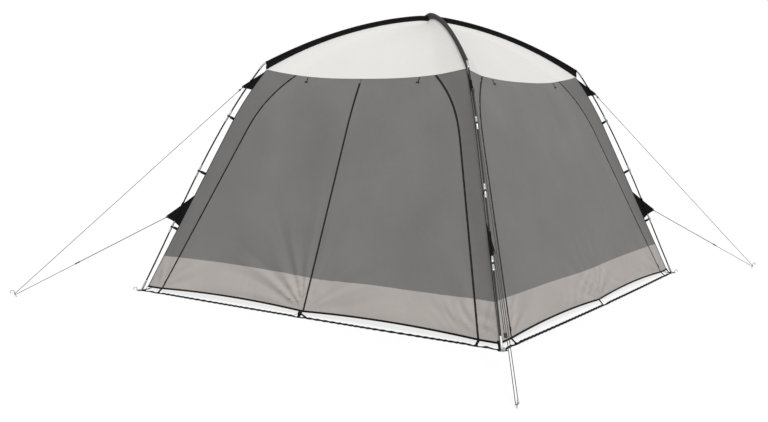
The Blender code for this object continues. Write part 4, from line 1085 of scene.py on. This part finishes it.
def makeZip(name, side, xAt, top, door, inward, other, replaced=()):
    # the coil and the door's tape, and the tape on the other side of them, which is attached to the root body when it
    # is sewn to the wall
    near, far = (tapeMesh(xAt, top, inward * shift, out) for shift, out in zips["tapePlaces"])
    mesh = joined(name, [near, coilMesh(xAt, top)])
    hangDoor(addPiece(name, mesh, None, sideFrames[side], replaced), side, door)
    fixed = other == "root"
    tape = addPiece(name + "_tape", far, "root" if fixed else None, sideFrames[side])
    if not fixed:
        hangDoor(tape, side, other)


def centreZip(z):
    return 0.0


leftZip = mirrored(zipMiddle)
zipTop = seamMeets(zipMiddle) - 0.0015
for side, leaves in doors.items():
    left, right = leaves[0], leaves[-1]
    makeZip(f"zip_{side}_left_side", side, leftZip, zipTop, left, 1, "root", [f"{left}_edging"])
    replaced = [f"{right}_edging"] if right != left else []
    makeZip(f"zip_{side}_right_side", side, zipMiddle, zipTop, right, -1, "root", replaced)
    if left != right:
        makeZip(f"zip_{side}_centre", side, centreZip, zips["centreTop"], left, -1, right)
print("zips made")


# Binding along the hems

def hemTape(side, start, end, lowAt):
    width, thickness = zips["hemTape"]
    steps = max(4, round((end - start) / 0.03))
    line = [onWall(side, x, lowAt(x) + width / 2 - 0.001, 0.0001) for x in spread(start, end, steps)]
    return strapMesh("hem", line, Vector((0, doorSlope, 1)).normalized(), width, thickness, "binding")


for side, leaves in doors.items():
    reach, edge = wallHalf(walls["hem"]), zipHalf(walls["hem"]) - 0.001
    strips = [hemTape(side, a, b, flatHem) for a, b in ((-reach, -edge - 0.002), (edge + 0.002, reach))]
    addPiece(f"hem_binding_{side}_corners", joined("hems", strips), "root", sideFrames[side])
    spans = [(-edge, -0.001), (0.001, edge)] if side == "front" else [(-edge, edge)]
    for leaf, (a, b) in zip(leaves, spans):
        name = leaf.replace("door", "hem_binding")
        addPiece(name, hemTape(side, a, b, hemLow), leaf, sideFrames[side])
print("hems made")


# Zip sliders

sliderNodes = {
    "zip_slider_front_left": ("front", leftZip),
    "zip_slider_front_centre": ("front", centreZip),
    "zip_slider_front_right": ("front", zipMiddle),
    "zip_slider_right_front": ("right", leftZip),
    "zip_slider_right_back": ("right", zipMiddle),
    "zip_slider_back_right": ("back", leftZip),
    "zip_slider_back_left": ("back", zipMiddle),
    "zip_slider_left_back": ("left", leftZip),
    "zip_slider_left_front": ("left", zipMiddle),
}
sliderShape = {
    # along the zip, half its width and half its height there
    "shoe": ((-0.009, 0.0022, 0.0016), (-0.0085, 0.003, 0.0022), (-0.004, 0.0036, 0.0026), (0.003, 0.0048, 0.0026),
             (0.0078, 0.0048, 0.0024), (0.009, 0.0040, 0.0018)),
    "shoeOut": 0.0023,
    "bridge": ((0.0038, -0.005), (0.0056, -0.0035), (0.0060, 0), (0.0056, 0.0035), (0.0038, 0.005)),
    "pull": ((0.0016, 0.0045), (0.0019, -0.004), (0.0029, -0.012), (0.0030, -0.0185), (0.0016, -0.0208)),
    "pullOut": 0.0062,
}


def sliderMesh():
    # a shoe with a bridge and a pull that hangs from it; x across the zip, y outward, z along it
    rings, out = [], sliderShape["shoeOut"]
    for z, wide, high in sliderShape["shoe"]:
        rings.append([Vector((wide * x, out + high * 0.75 * y, z)) for x, y in squircle(12, 0.5, 0.6)])
    bridge = [Vector((0, y, z)) for y, z in sliderShape["bridge"]]
    half, out = sliderShape["pull"], sliderShape["pullOut"]
    pull = [Vector((x, out, z)) for x, z in (*half, *((-x, z) for x, z in reversed(half)))]
    return joined("slider", [
        ringsMesh("shoe", rings, "slider"),
        strapMesh("bridge", bridge, rightwards, 0.0024, 0.0009, "slider"),
        plateMesh("pull", pull, sideways, 0.0014, "slider"),
    ])


def sliderFrame(xAt):
    def middle(z):
        return Vector((xAt(z), -(wallAt(xAt(z), z) + zips["sliderOut"]), z))

    along = (middle(walls["zipTurnHeight"] - 0.1) - middle(zips["slider"])).normalized()
    across = Vector((0, -1, doorSlope)).cross(along).normalized()
    place = Matrix((across, along.cross(across), along)).transposed().to_4x4()
    place.translation = middle(zips["slider"])
    return place


for node, (side, xAt) in sliderNodes.items():
    place = sideFrames[side] @ sliderFrame(xAt)
    addPiece(node.replace("zip_slider", "slider_pull"), sliderMesh(), node, place, [node])
print("sliders made")


# Roof panels

roofCloth = {
    "tautness": 1.8,
    "drop": 0.028,
    "crossing": 0.25,
    "clearance": 0.002,
    "topGap": 0.004,
    "thickness": 0.0010,
    "face": 0.0019,
    "slack": 0.06,  # what its flat height has beyond the way from the middle to the seam
    "relief": (0.006, 0.0012),  # of its waves and of the crumple on them
    "pulls": 0.0016,  # along the roof's edge
    "pleats": (0.0016, 0.05),  # height, distance
    "cells": 72,
}
roofPoles = {"front": "ab", "right": "ba", "back": "ab", "left": "ba"}  # on its left, then on its right


def ridgeHeight(u, kind):
    apex, gap = poleLine["apex"][kind], roofCloth["clearance"]
    end = archHeight(roofCorner * root2, apex) - walls["roofCorner"] - gap
    drop = roofCloth["drop"] + (end - roofCloth["drop"]) * (u / roofCorner) ** 4
    dip = (apex - poleLine["apex"]["a"]) * max(0, 1 - u / roofCloth["crossing"]) ** 2
    return archHeight(u * root2, apex) - drop - dip - gap


def roofPoint(side, u, w, lift):
    # u is how far the row's ends are from the middle, w runs across it from -1 to 1
    share = u / roofCorner
    bend = abs(w) ** walls["seamPower"]
    ridges = [ridgeHeight(u, kind) for kind in roofPoles[side]]
    straight = walls["roofMiddle"] + (ridgeHeight(0, "a") - walls["roofMiddle"]) * (1 - share)
    middle = straight + roofCloth["tautness"] * share * (1 - share) * (sum(ridges) / 2 - straight)
    height = middle + (ridges[w > 0] - middle) * bend + lift
    return Vector((w * (u - 0.00015), -share * seamEdge(w * roofCorner), height))


def roofRelief(side, u, w):
    share = u / roofCorner
    held = softened((1 - abs(w)) / 0.06) * softened((1 - share) / 0.05) * softened(share / 0.2)
    p = Vector((w * u * 2.4, u * 2.0, seeds[side]))
    (waves, crumple), (height, pitch) = roofCloth["relief"], roofCloth["pleats"]
    relief = waves * noise.noise(p) + crumple * noise.noise(p * 6)
    relief += roofCloth["pulls"] * wobble(w * u * 1.6, u * 17, seeds[side] + 3)
    edge = math.exp(-(1 - share) * roofCorner / 0.09) * softened((1 - share) / 0.012)
    pleat = math.sin(2 * math.pi * (w * u / pitch + noise.noise(p * 3)))
    return relief * held + height * pleat * edge * softened((abs(w) - 0.45) / 0.4) * softened((1 - abs(w)) / 0.03)


for side, place in sideFrames.items():
    count, rows = roofCloth["cells"], []
    for u in spread(roofCorner, roofCloth["topGap"], count):
        rows.append([roofPoint(side, u, w, roofCloth["face"] + roofRelief(side, u, w)) for w in spread(-1, 1, count)])
    mesh = clothMesh("roof", rows, roofCloth["thickness"], ["roof"], [[(p.x, p.y) for p in row] for row in rows])
    obj = addPiece(f"roof_cloth_{side}", mesh, "root", place, [f"roof_{side}"])
    flat = (round(2 * roofCorner, 3), round(seamEdge(0) + roofCloth["slack"], 3))
    round(sheetArea(rows), 3)
print("roof made")


# Sleeves

sleeves = {
    "radius": 0.009,
    "bore": 0.0079,
    "mouth": 0.018,
    "flare": 1.06,  # at its mouths
    "crossing": 0.0163,  # within this of the middle the upper sleeve isn't sewn down
    "seam": ((-0.0042, 0.62), (-0.0030, 1), (0.0030, 1), (0.0042, 0.62)),  # across, and share of the way down
    "seamSink": 0.0022,
    "ripple": (0.05, 0.035),
}


def beside(p, rise, radius, angle):
    return p + sideways * radius * math.cos(angle) + rise * radius * math.sin(angle)


def makeSleeve(kind, mat, corner):
    # a tube open at both ends, whose lower side comes down to the roof that it is sewn to
    apex, count = poleLine["apex"][kind], 180
    start = shoulder.x - sleeves["mouth"]
    line = [Vector((x, 0, archHeight(x, apex))) for x in spread(start, -start, count)]
    outer, inner, (puffs, wrinkles) = [], [], sleeves["ripple"]
    turns = [math.radians(a) for a in spread(-60, 240, 18)]
    for k, (p, way) in enumerate(zip(line, waysAlong(line))):
        rise = sideways.cross(way)
        rise = rise if rise.z > 0 else -rise
        free = kind == "b" and abs(p.x) < sleeves["crossing"]
        low = p.z - sleeves["radius"] if free else ridgeHeight(abs(p.x) / root2, kind) + sleeves["seamSink"]
        flare = sleeves["flare"] if min(k, count - k) < 2 else 1.0
        puff = 1 + puffs * wobble(p.x * 14, 2.0 if kind == "a" else 9.0, 0)
        ring = []
        for a in turns:
            wrinkle = 1 + wrinkles * wobble(p.x * 40, a * 1.5, 4)
            ring.append(beside(p, rise, sleeves["radius"] * flare * puff * wrinkle, a))
        depth = p.z - low
        for y, share in sleeves["seam"]:
            ring.append(Vector((p.x, y, p.z - (depth * share if depth > 0.012 else sleeves["radius"]))))
        outer.append(ring)
        angles = turns + [math.radians(a) for a in spread(252, 288, 3)]
        inner.append([beside(p, rise, sleeves["bore"], a) for a in angles])
    mesh = ringsMesh("sleeve", outer + inner[::-1], mat, closed=True)
    addPiece(f"sleeve_cloth_{kind}", mesh, "root", cornerFrames[corner], [f"sleeve_{kind}"])


makeSleeve("a", "blackSleeve", "front_left")
# its cloth is drawn lighter than sleeve a's as a painted sheen
makeSleeve("b", "sheenLitSleeve", "front_right")
print("sleeves made")


# Corner seams: bound rib, hooks on their tabs, gussets, foot strap and corner peg

strapThickness = 0.0018  # of the tabs, the foot straps and the straps between the hems and the ground web
cornerTrim = {
    "rib": (0.004, 0.003),  # depth, width
    "ribEnds": (0.028, 1.602),
    "hook": {"inner": 0.0075, "wall": 0.003, "width": 0.013, "shank": 0.024, "opening": 70.0,
             "shankHalf": (0.0018, 0.0021), "neck": 0.003},  # half its height at its end and at its neck by the ring
    "tab": 0.020,
    "tunnel": (0.0068, 0.0081),
    "footStrap": (0.030, 0.044, 0.023),  # width, top, reach past the foot
    "pegPlace": 0.030,  # past the foot
    "pegStand": 0.016,
    "pegRing": (0.0090, 0.0014),  # radius, thickness
    "grommet": (0.0112, 0.0014),
}


def seamReach(z):
    return (wallHalf(z) + walls["seamOut"]) * root2


def ribMesh():
    depth, width = cornerTrim["rib"]
    low, high = cornerTrim["ribEnds"]
    rings = []
    for z in spread(low, high, 80):
        near = seamReach(z) - 0.0012
        far = near + depth
        outline = [(near, -width / 2), (far, -width / 2), (far + 0.0008, -width / 4)]
        outline += [(x, -y) for x, y in reversed(outline)]
        rings.append([Vector((x, y, z)) for x, y in outline])
    return ringsMesh("rib", rings, "binding")


def hookFrame(s):
    z = legWay(s)
    x = sideways.cross(z).normalized()
    x = x if x.x < 0 else -x
    place = Matrix((x, z.cross(x), z)).transposed().to_4x4()
    place.translation = leg(s)
    return place


def hookMesh(s):
    # a ring round the ferrule, open on its upper side, with a shank towards the cloth
    hook = cornerTrim["hook"]
    opening, half = math.radians(hook["opening"]), hook["width"] / 2
    first, last = math.pi / 2 - opening / 2, math.pi / 2 + opening / 2 - 2 * math.pi
    inner, outer = hook["inner"], hook["inner"] + hook["wall"]
    root = 1.6 * math.asin(0.002 / outer)  # where the shank leaves the ring
    (thin, thick), neck = hook["shankHalf"], outer + hook["neck"]
    points = [(hook["shank"], thin), (hook["shank"], -thin), (neck, -thick)]
    for radius, start, end, count in ((outer, -root, last, 18), (inner, last, first, 22), (outer, first, root, 6)):
        points += [(radius * math.cos(a), radius * math.sin(a)) for a in spread(start, end, count)]
    points.append((neck, thick))
    place, rings = hookFrame(s), []
    for z, inset in ((-half, 0.0006), (-half + 0.0007, 0), (half - 0.0007, 0), (half, 0.0006)):
        ring = []
        for i, (x, y) in enumerate(points):
            edge = (Vector(points[(i + 1) % len(points)]) - Vector(points[i - 1])).normalized()
            ring.append(place @ Vector((x + edge.y * inset, y - edge.x * inset, z)))
        rings.append(ring)
    return ringsMesh("hook", rings, "moulded", sharp=40)


def tabMesh(s):
    place = hookFrame(s)
    way, start = place.col[0].xyz, place @ Vector((cornerTrim["hook"]["shank"] - 0.010, 0, 0))
    run = 0.0
    for _ in range(20):
        p = start + way * run
        run += (p.x - seamReach(p.z) - 0.001) * 0.9
    line = [start + way * s for s in spread(0, run, 4)]
    return strapMesh("tab", line, place.col[2].xyz, cornerTrim["tab"], strapThickness, "webbing")


def gussetOutline(kind):
    # round the gusset: down its seam, out along its lower edge, round its tip and back along its upper one
    gusset, tip = gussets[kind], gussetTip(kind)
    heights = (gusset["top"], (gusset["top"] + gusset["bottom"]) / 2, gusset["bottom"])
    seam = [Vector((seamReach(z) + 0.0008, 0, z)) for z in heights]
    edge = tip - seam[-1]
    bow = Vector((-edge.z, 0, edge.x)).normalized() * gusset["hollow"]
    lower = [seam[-1] + edge * t + bow * 4 * t * (1 - t) for t in spread(0.15, 0.9, 5)]
    nose = [tip + Vector((x, 0, z)) for x, z in ((0, 0.001), (0.0006, 0.006), (0, 0.011), (-0.004, 0.014))]
    rim = nose[-1] - seam[0]
    hollow = Vector((rim.z, 0, -rim.x)).normalized()
    hollow *= gusset["hollow"] * 0.8 * (1 if hollow.x < 0 else -1)
    upper = [nose[-1].lerp(seam[0], t) + hollow * t * (1 - t) for t in spread(0.2, 0.8, 3)]
    return seam, [*lower, *nose, *upper]


def gussetMesh(kind):
    seam, rest = gussetOutline(kind)
    plate = plateMesh("gusset", [*seam, *rest], sideways, 0.0014, "gusset")
    edging = rounded([seam[-1], *rest, seam[0]], 0.004, 2)
    binding = barMesh("edging", [(p, 0.0013) for p in edging], "binding", 8, sideways)
    low, high = (legLengthAt(z) for z in gussets[kind]["tunnel"])
    bore, radius = cornerTrim["tunnel"]
    line = [leg(s) for s in spread(low, high, 12)]
    stations = list(enumerate(zip(line, waysAlong(line))))
    outer = [circle(p, way, radius + (0.0005 if i in (0, 12) else 0), 20) for i, (p, way) in stations]
    inner = [circle(p, way, bore, 20) for _, (p, way) in stations]
    tunnel = ringsMesh("tunnel", outer + inner[::-1], "gusset", closed=True)
    faces = [gussetEye(kind) + sideways * y for y in (-0.0006, 0.0006)]
    eyes = [ringMesh("eye", p, sideways, 0.0043, 0.0011, "nickel") for p in faces]
    return joined("gusset", [plate, binding, tunnel, *eyes])


def footStrapMesh():
    width, top, reach = cornerTrim["footStrap"]
    line = [(seamReach(top) + 0.001, top), (foot.x - 0.026, 0.0034), (foot.x + reach, 0.0034)]
    line = rounded([Vector((x, 0, z)) for x, z in line], 0.012, 5)
    return strapMesh("foot strap", line, sideways, width, strapThickness, "webbing")


for corner, place in cornerFrames.items():
    addPiece(f"seam_rib_{corner}", ribMesh(), "root", place, [f"corner_binding_{corner}"])
    hooks, tabs = ([make(s) for s in legJoints] for make in (hookMesh, tabMesh))
    addPiece(f"pole_hooks_{corner}", joined("hooks", hooks), "root", place)
    addPiece(f"hook_tabs_{corner}", joined("tabs", tabs), "root", place)
    for kind in gussets:
        addPiece(f"{kind}_gusset_{corner}", gussetMesh(kind), "root", place)
    addPiece(f"foot_strap_{corner}", footStrapMesh(), "root", place)
    past = foot + rightwards * cornerTrim["pegPlace"]
    grommet = ringMesh("grommet", foot + Vector((0.0022, 0, 0.0042)), up, *cornerTrim["grommet"], "nickel")
    pegRing = ringMesh("peg ring", past + up * 0.0040, up, *cornerTrim["pegRing"], "nickel")
    addPiece(f"foot_grommet_{corner}", joined("rings", [grommet, pegRing]), "root", place)
    peg = pegMesh(cornerTrim["pegStand"], 0)
    addPiece(f"corner_pin_{corner}", peg, "root", place @ Matrix.Translation(past))
print("corner trims made")


# Ground web with its corner patches and straps

groundWeb = {
    "bow": 0.020,
    "half": 1.464,  # of its length between the corners
    "corner": (1.482, 1.518),
    "width": 0.020,
    "thickness": 0.002,
    "edge": 0.0006,
    "strap": 0.018,
    "strapOffset": -0.006,
    "strapTop": 0.036,
    "frontStrap": 0.026,  # width of the strap under the centre zip
    "tailWidth": 0.016,
    "lift": 0.006,
    "ripple": 0.052,  # from one to the next
    "patch": 0.030,
    "buckle": (0.0150, 0.0125, 0.0024),  # half its width, half its height, thickness
    # how far across, outward and up the strap's loose end is from its buckle
    "tail": ((0.004, -0.004, 0.002), (0.016, -0.008, 0.001), (0.034, -0.012, -0.005), (0.052, -0.018, -0.0095),
             (0.072, -0.026, -0.0125)),
}


def groundWebY(x):
    return -(1.5 + groundWeb["bow"] * (1 - (2 * x / 3.0) ** 2))


def webLift(x, base, turn):
    # the slack web ripples between its straps, and its inner edge stands up more than its outer one
    held = min(abs(x), abs(abs(x) - zipHalf(walls["hem"])), groundWeb["half"] - abs(x))
    along = x / groundWeb["ripple"] + 1.5 * wobble(x * 3, 1.7, 0.4)
    wave = math.sin(2 * math.pi * along + turn)
    return up * groundWeb["lift"] * softened((held - 0.015) / 0.05) * (base + 0.6 * wave) / 2


def groundWebMesh():
    rings, uvs, s, steps = [], [], 0.0, 180
    half, thick, edge = groundWeb["width"] / 2, groundWeb["thickness"], groundWeb["edge"]
    span = groundWeb["half"]
    for place in sideFrames.values():
        stations = [[Vector((-x, -x, 0)) for x in groundWeb["corner"]]]
        for x in spread(-span, span, steps):
            y = groundWebY(x)
            inner, outer = Vector((x, y + half, 0)), Vector((x, y - half, 0))
            stations.append((inner + webLift(x, 2.4, 0), outer + webLift(x, 0.7, math.pi)))
        for inner, outer in stations:
            cut = (outer - inner).normalized() * edge
            low = [inner + up * edge, inner + cut, outer - cut, outer + up * edge]
            high = [p + up * (thick - 2 * edge if k in (0, 3) else thick) for k, p in enumerate(low)]
            rings.append([place @ p for p in (*low, *reversed(high))])
            uvs += [(0.0 if k in (0, 1, 6, 7) else 2 * half, s) for k in range(8)]
            s += 2 * span / steps
    return ringsMesh("ground web", rings, "webbing", closed=True, uvs=uvs)


def patchMesh():
    # a square of stiff cloth over the web's corner
    middle = Vector((foot.x - 0.004, 0, 0.0025))
    outline = [middle + Vector((x, y, 0)) * groundWeb["patch"] for x, y in squircle(24, 0.35, 0.35, 0.5)]
    return plateMesh("patch", outline, up, 0.0010, "gusset", 0.0003)


def strapDown(side, x, top, out, drop, slant=0.0):
    # from the hem to the ground web, which it meets slant to the right of its top
    points = [onWall(side, x, top, out), onWall(side, x, walls["hem"] + 0.002, out + 0.0004)]
    x, half, height = x + slant, groundWeb["width"] / 2, groundWeb["thickness"] + 0.0012
    points += [Vector((x, groundWebY(x) + y, height)) for y in (half - drop, 0.001 - half)]
    return rounded(points, 0.006, 3)


def keeperMesh(middle, along):
    # a moulded loop on the strap that holds its turned-back end
    rise = along.cross(rightwards).normalized()
    rise = rise if rise.y < 0 else -rise
    half, rings = along * 0.003, []
    for x, y in squircle(24, 0.4, 0.5):
        p = middle + rightwards * 0.0105 * x + rise * 0.0028 * y
        out = (p - middle).normalized() * 0.0008
        rings.append([p - out - half, p + out - half, p + out + half, p - out + half])
    return ringsMesh("keeper", rings, "moulded", closed=True)


def wrapMesh(x):
    # the strap's lower end, turned round the web and sewn
    rings, reach = [], groundWeb["width"] / 2 + 0.003
    for dx, inset in ((-0.011, 0.0008), (-0.0102, 0), (0.0102, 0), (0.011, 0.0008)):
        outline = [((reach - inset) * y, (0.0038 - inset) * z) for y, z in squircle(20, 0.5, 0.6)]
        rings.append([Vector((x + dx, groundWebY(x) + y, 0.0042 + z)) for y, z in outline])
    return ringsMesh("wrap", rings, "webbing")


def buckleMesh(middle, along):
    # a moulded ladder-lock: a frame with two bars that the strap is doubled through
    face = along.cross(rightwards).normalized()
    wide, high, thick = groundWeb["buckle"]
    line = [middle + rightwards * wide * x + along * high * y for x, y in squircle(32, 0.45, 0.45)]
    ways = [(after - before).normalized() for before, after in zip(line[-1:] + line, line[1:] + line[:1])]
    rings = [circle(p, way, thick, 8, face) for p, way in zip(line, ways)]
    parts = [ringsMesh("frame", rings, "moulded", closed=True)]
    for shift in (-0.0035, 0.0035):
        ends = [middle + along * shift + rightwards * x for x in (-0.014, 0.014)]
        parts.append(barMesh("bar", [(p, 0.0017) for p in ends], "moulded", 10))
    steps = (-0.011, -0.0055, 0, 0.0055, 0.011)
    folded = [middle + along * x + face * 0.0012 * math.cos(x * 300) for x in steps]
    return joined("buckle", [*parts, strapMesh("fold", folded, rightwards, 0.022, 0.0044, "webbing")])


def tailMesh(middle, reach):
    # one of the strap's loose ends, which falls from the buckle to the ground on its right, or left below 0
    line = rounded([middle + Vector((x * reach, y, z)) for x, y, z in groundWeb["tail"]], 0.006, 3)
    across = Vector((math.copysign(0.35, reach), 0.93, 0)).normalized()
    return strapMesh("tail", line, across, groundWeb["tailWidth"], strapThickness, "webbing")


addPiece("ground_webbing", groundWebMesh(), "root", None, ["ground_web"])
for corner, place in cornerFrames.items():
    addPiece(f"corner_patch_{corner}", patchMesh(), "root", place)
# where each door's strap starts, and how far to the right it comes down
doorStraps = {"front": (-0.015, 0.020), "right": (0.0, -0.045), "back": (0.0, 0.012), "left": (0.0, -0.015)}
for side, leaves in doors.items():
    place = sideFrames[side]
    reach = zipHalf(walls["hem"]) + groundWeb["strapOffset"]
    straps = []
    for x in (-reach, reach):
        line = strapDown(side, x, groundWeb["strapTop"], 0.0022, 0.004)
        straps += [strapMesh("strap", line, rightwards, groundWeb["strap"], strapThickness, "webbing"), wrapMesh(x)]
    addPiece(f"hem_straps_{side}", joined("straps", straps), "root", place)
    x, slant = doorStraps[side]
    line = strapDown(side, x, groundWeb["strapTop"], 0.0024, 0.006, slant)
    width = groundWeb["frontStrap" if side == "front" else "strap"]
    parts = [strapMesh("strap", line, rightwards, width, strapThickness, "webbing")]
    if side == "front":
        hemPoint, webPoint = onWall(side, x, walls["hem"], 0.003), line[-5]
        middle = hemPoint.lerp(webPoint, 0.45) + up * 0.004
        tilted = ((hemPoint - webPoint).normalized() + up * 0.8).normalized()
        parts += [buckleMesh(middle, tilted), tailMesh(middle, 1.0), tailMesh(middle, -0.45)]
    else:
        parts.append(keeperMesh(line[1].lerp(line[0], 0.35), (line[0] - line[1]).normalized()))
    addPiece(f"door_strap_{side}", joined("door strap", parts), leaves[0], place)
print("ground web made")


# Toggles and ties for the rolled doors

toggles = {
    "places": (-0.475, 0.475),
    "drop": 0.036,
    "bar": (0.026, 0.004),
    # from its waist to its end, with the share of its radius there
    "barShape": ((0.07, 0.8), (0.2, 0.95), (0.36, 1), (0.44, 0.92), (0.48, 0.7), (0.5, 0.35)),
    "tie": (0.007, 0.0014),
}


def toggleMeshes(side, x):
    top, drop = seamHeight(x) - 0.003, toggles["drop"]
    length, radius = toggles["bar"]
    places = ((top, 0.0005), (top - 0.006, 0.0020), (top - drop / 2, 0.0022), (top - drop, 0.0022))
    line = [Vector((x, -(wallAt(x, z) + out), z)) for z, out in places]
    tie = strapMesh("tie", rounded(line, 0.004, 3), rightwards, *toggles["tie"], "webbing")
    z, half = top - drop + radius, toggles["barShape"]
    bar = Vector((x, -(wallAt(x, z) + 0.003 + radius), z))
    shape = [*((-s, r) for s, r in reversed(half)), *half]
    stations = [(bar + rightwards * length * s, radius * r) for s, r in shape]
    loop = ringMesh("loop", bar + sideways * 0.0005, rightwards, 0.0040, 0.0008, "webbing")
    return [tie, barMesh("toggle", stations, "moulded", 16), loop]


for side, place in sideFrames.items():
    meshes = [mesh for x in toggles["places"] for mesh in toggleMeshes(side, x)]
    addPiece(f"toggles_{side}", joined("toggles", meshes), "root", place)
print("toggles made")


# Floor, sky and sun

studio = {
    "sky": 0.56,
    "sun": 1.75,
    "sunTurn": (46, 0, 43),
    "sunSize": 20.0,
    "bounce": "#a4a4a4",  # the floor as it lights the shelter
    "floor": "#7c7c7c",  # and as it is seen, under a glow that brings it up to white but keeps its shadows
    "floorGlow": 0.81,
    "floorReach": 60,
}


def seenRays(owner):
    # 1 for what the camera sees, also in metal, and 0 for the light that falls on the shelter
    rays = addNode(owner, "LightPath")
    seen = rays.outputs["Is Camera Ray"]
    for name in ("Is Glossy Ray", "Is Transmission Ray"):
        seen = addNode(owner, "Math", {"operation": "MAXIMUM"}, {0: seen, 1: rays.outputs[name]}).outputs[0]
    return seen


def lightUp():
    world = bpy.data.worlds.new("studio")
    bpy.context.scene.world = world
    world.use_nodes = True
    back = world.node_tree.nodes["Background"]
    back.inputs["Color"].default_value = (1, 1, 1, 1)
    strength = addNode(world, "MapRange", {"To Min": studio["sky"], "To Max": 1.0}, {"Value": seenRays(world)})
    world.node_tree.links.new(strength.outputs[0], back.inputs["Strength"])
    sun = bpy.data.lights.new("sun", "SUN")
    sun.energy, sun.angle = studio["sun"], math.radians(studio["sunSize"])
    addObject("sun", sun).rotation_euler = [math.radians(a) for a in studio["sunTurn"]]


def makeFloor():
    settings = {"Roughness": 0.9, "Specular IOR Level": 0.1, "Emission Color": (1, 1, 1, 1)}
    mat = newMaterial("matt paper floor", settings)
    seen, reach = seenRays(mat), studio["floorReach"]
    feed(mat, "Base Color", addRamp(mat, seen, linear(studio["bounce"]), linear(studio["floor"])))
    glow = addNode(mat, "MapRange", {"To Min": 0.0, "To Max": studio["floorGlow"]}, {"Value": seen})
    feed(mat, "Emission Strength", glow.outputs[0])
    mesh = bpy.data.meshes.new("floor")
    corners = [(reach * x, reach * y, 0) for x, y in ((-1, -1), (1, -1), (1, 1), (-1, 1))]
    mesh.from_pydata(corners, [], [(0, 1, 2, 3)])
    mesh.materials.append(mat)
    addObject("floor", mesh)


lightUp()
makeFloor()
bpy.context.scene.view_settings.view_transform = "Standard"
print("studio made")
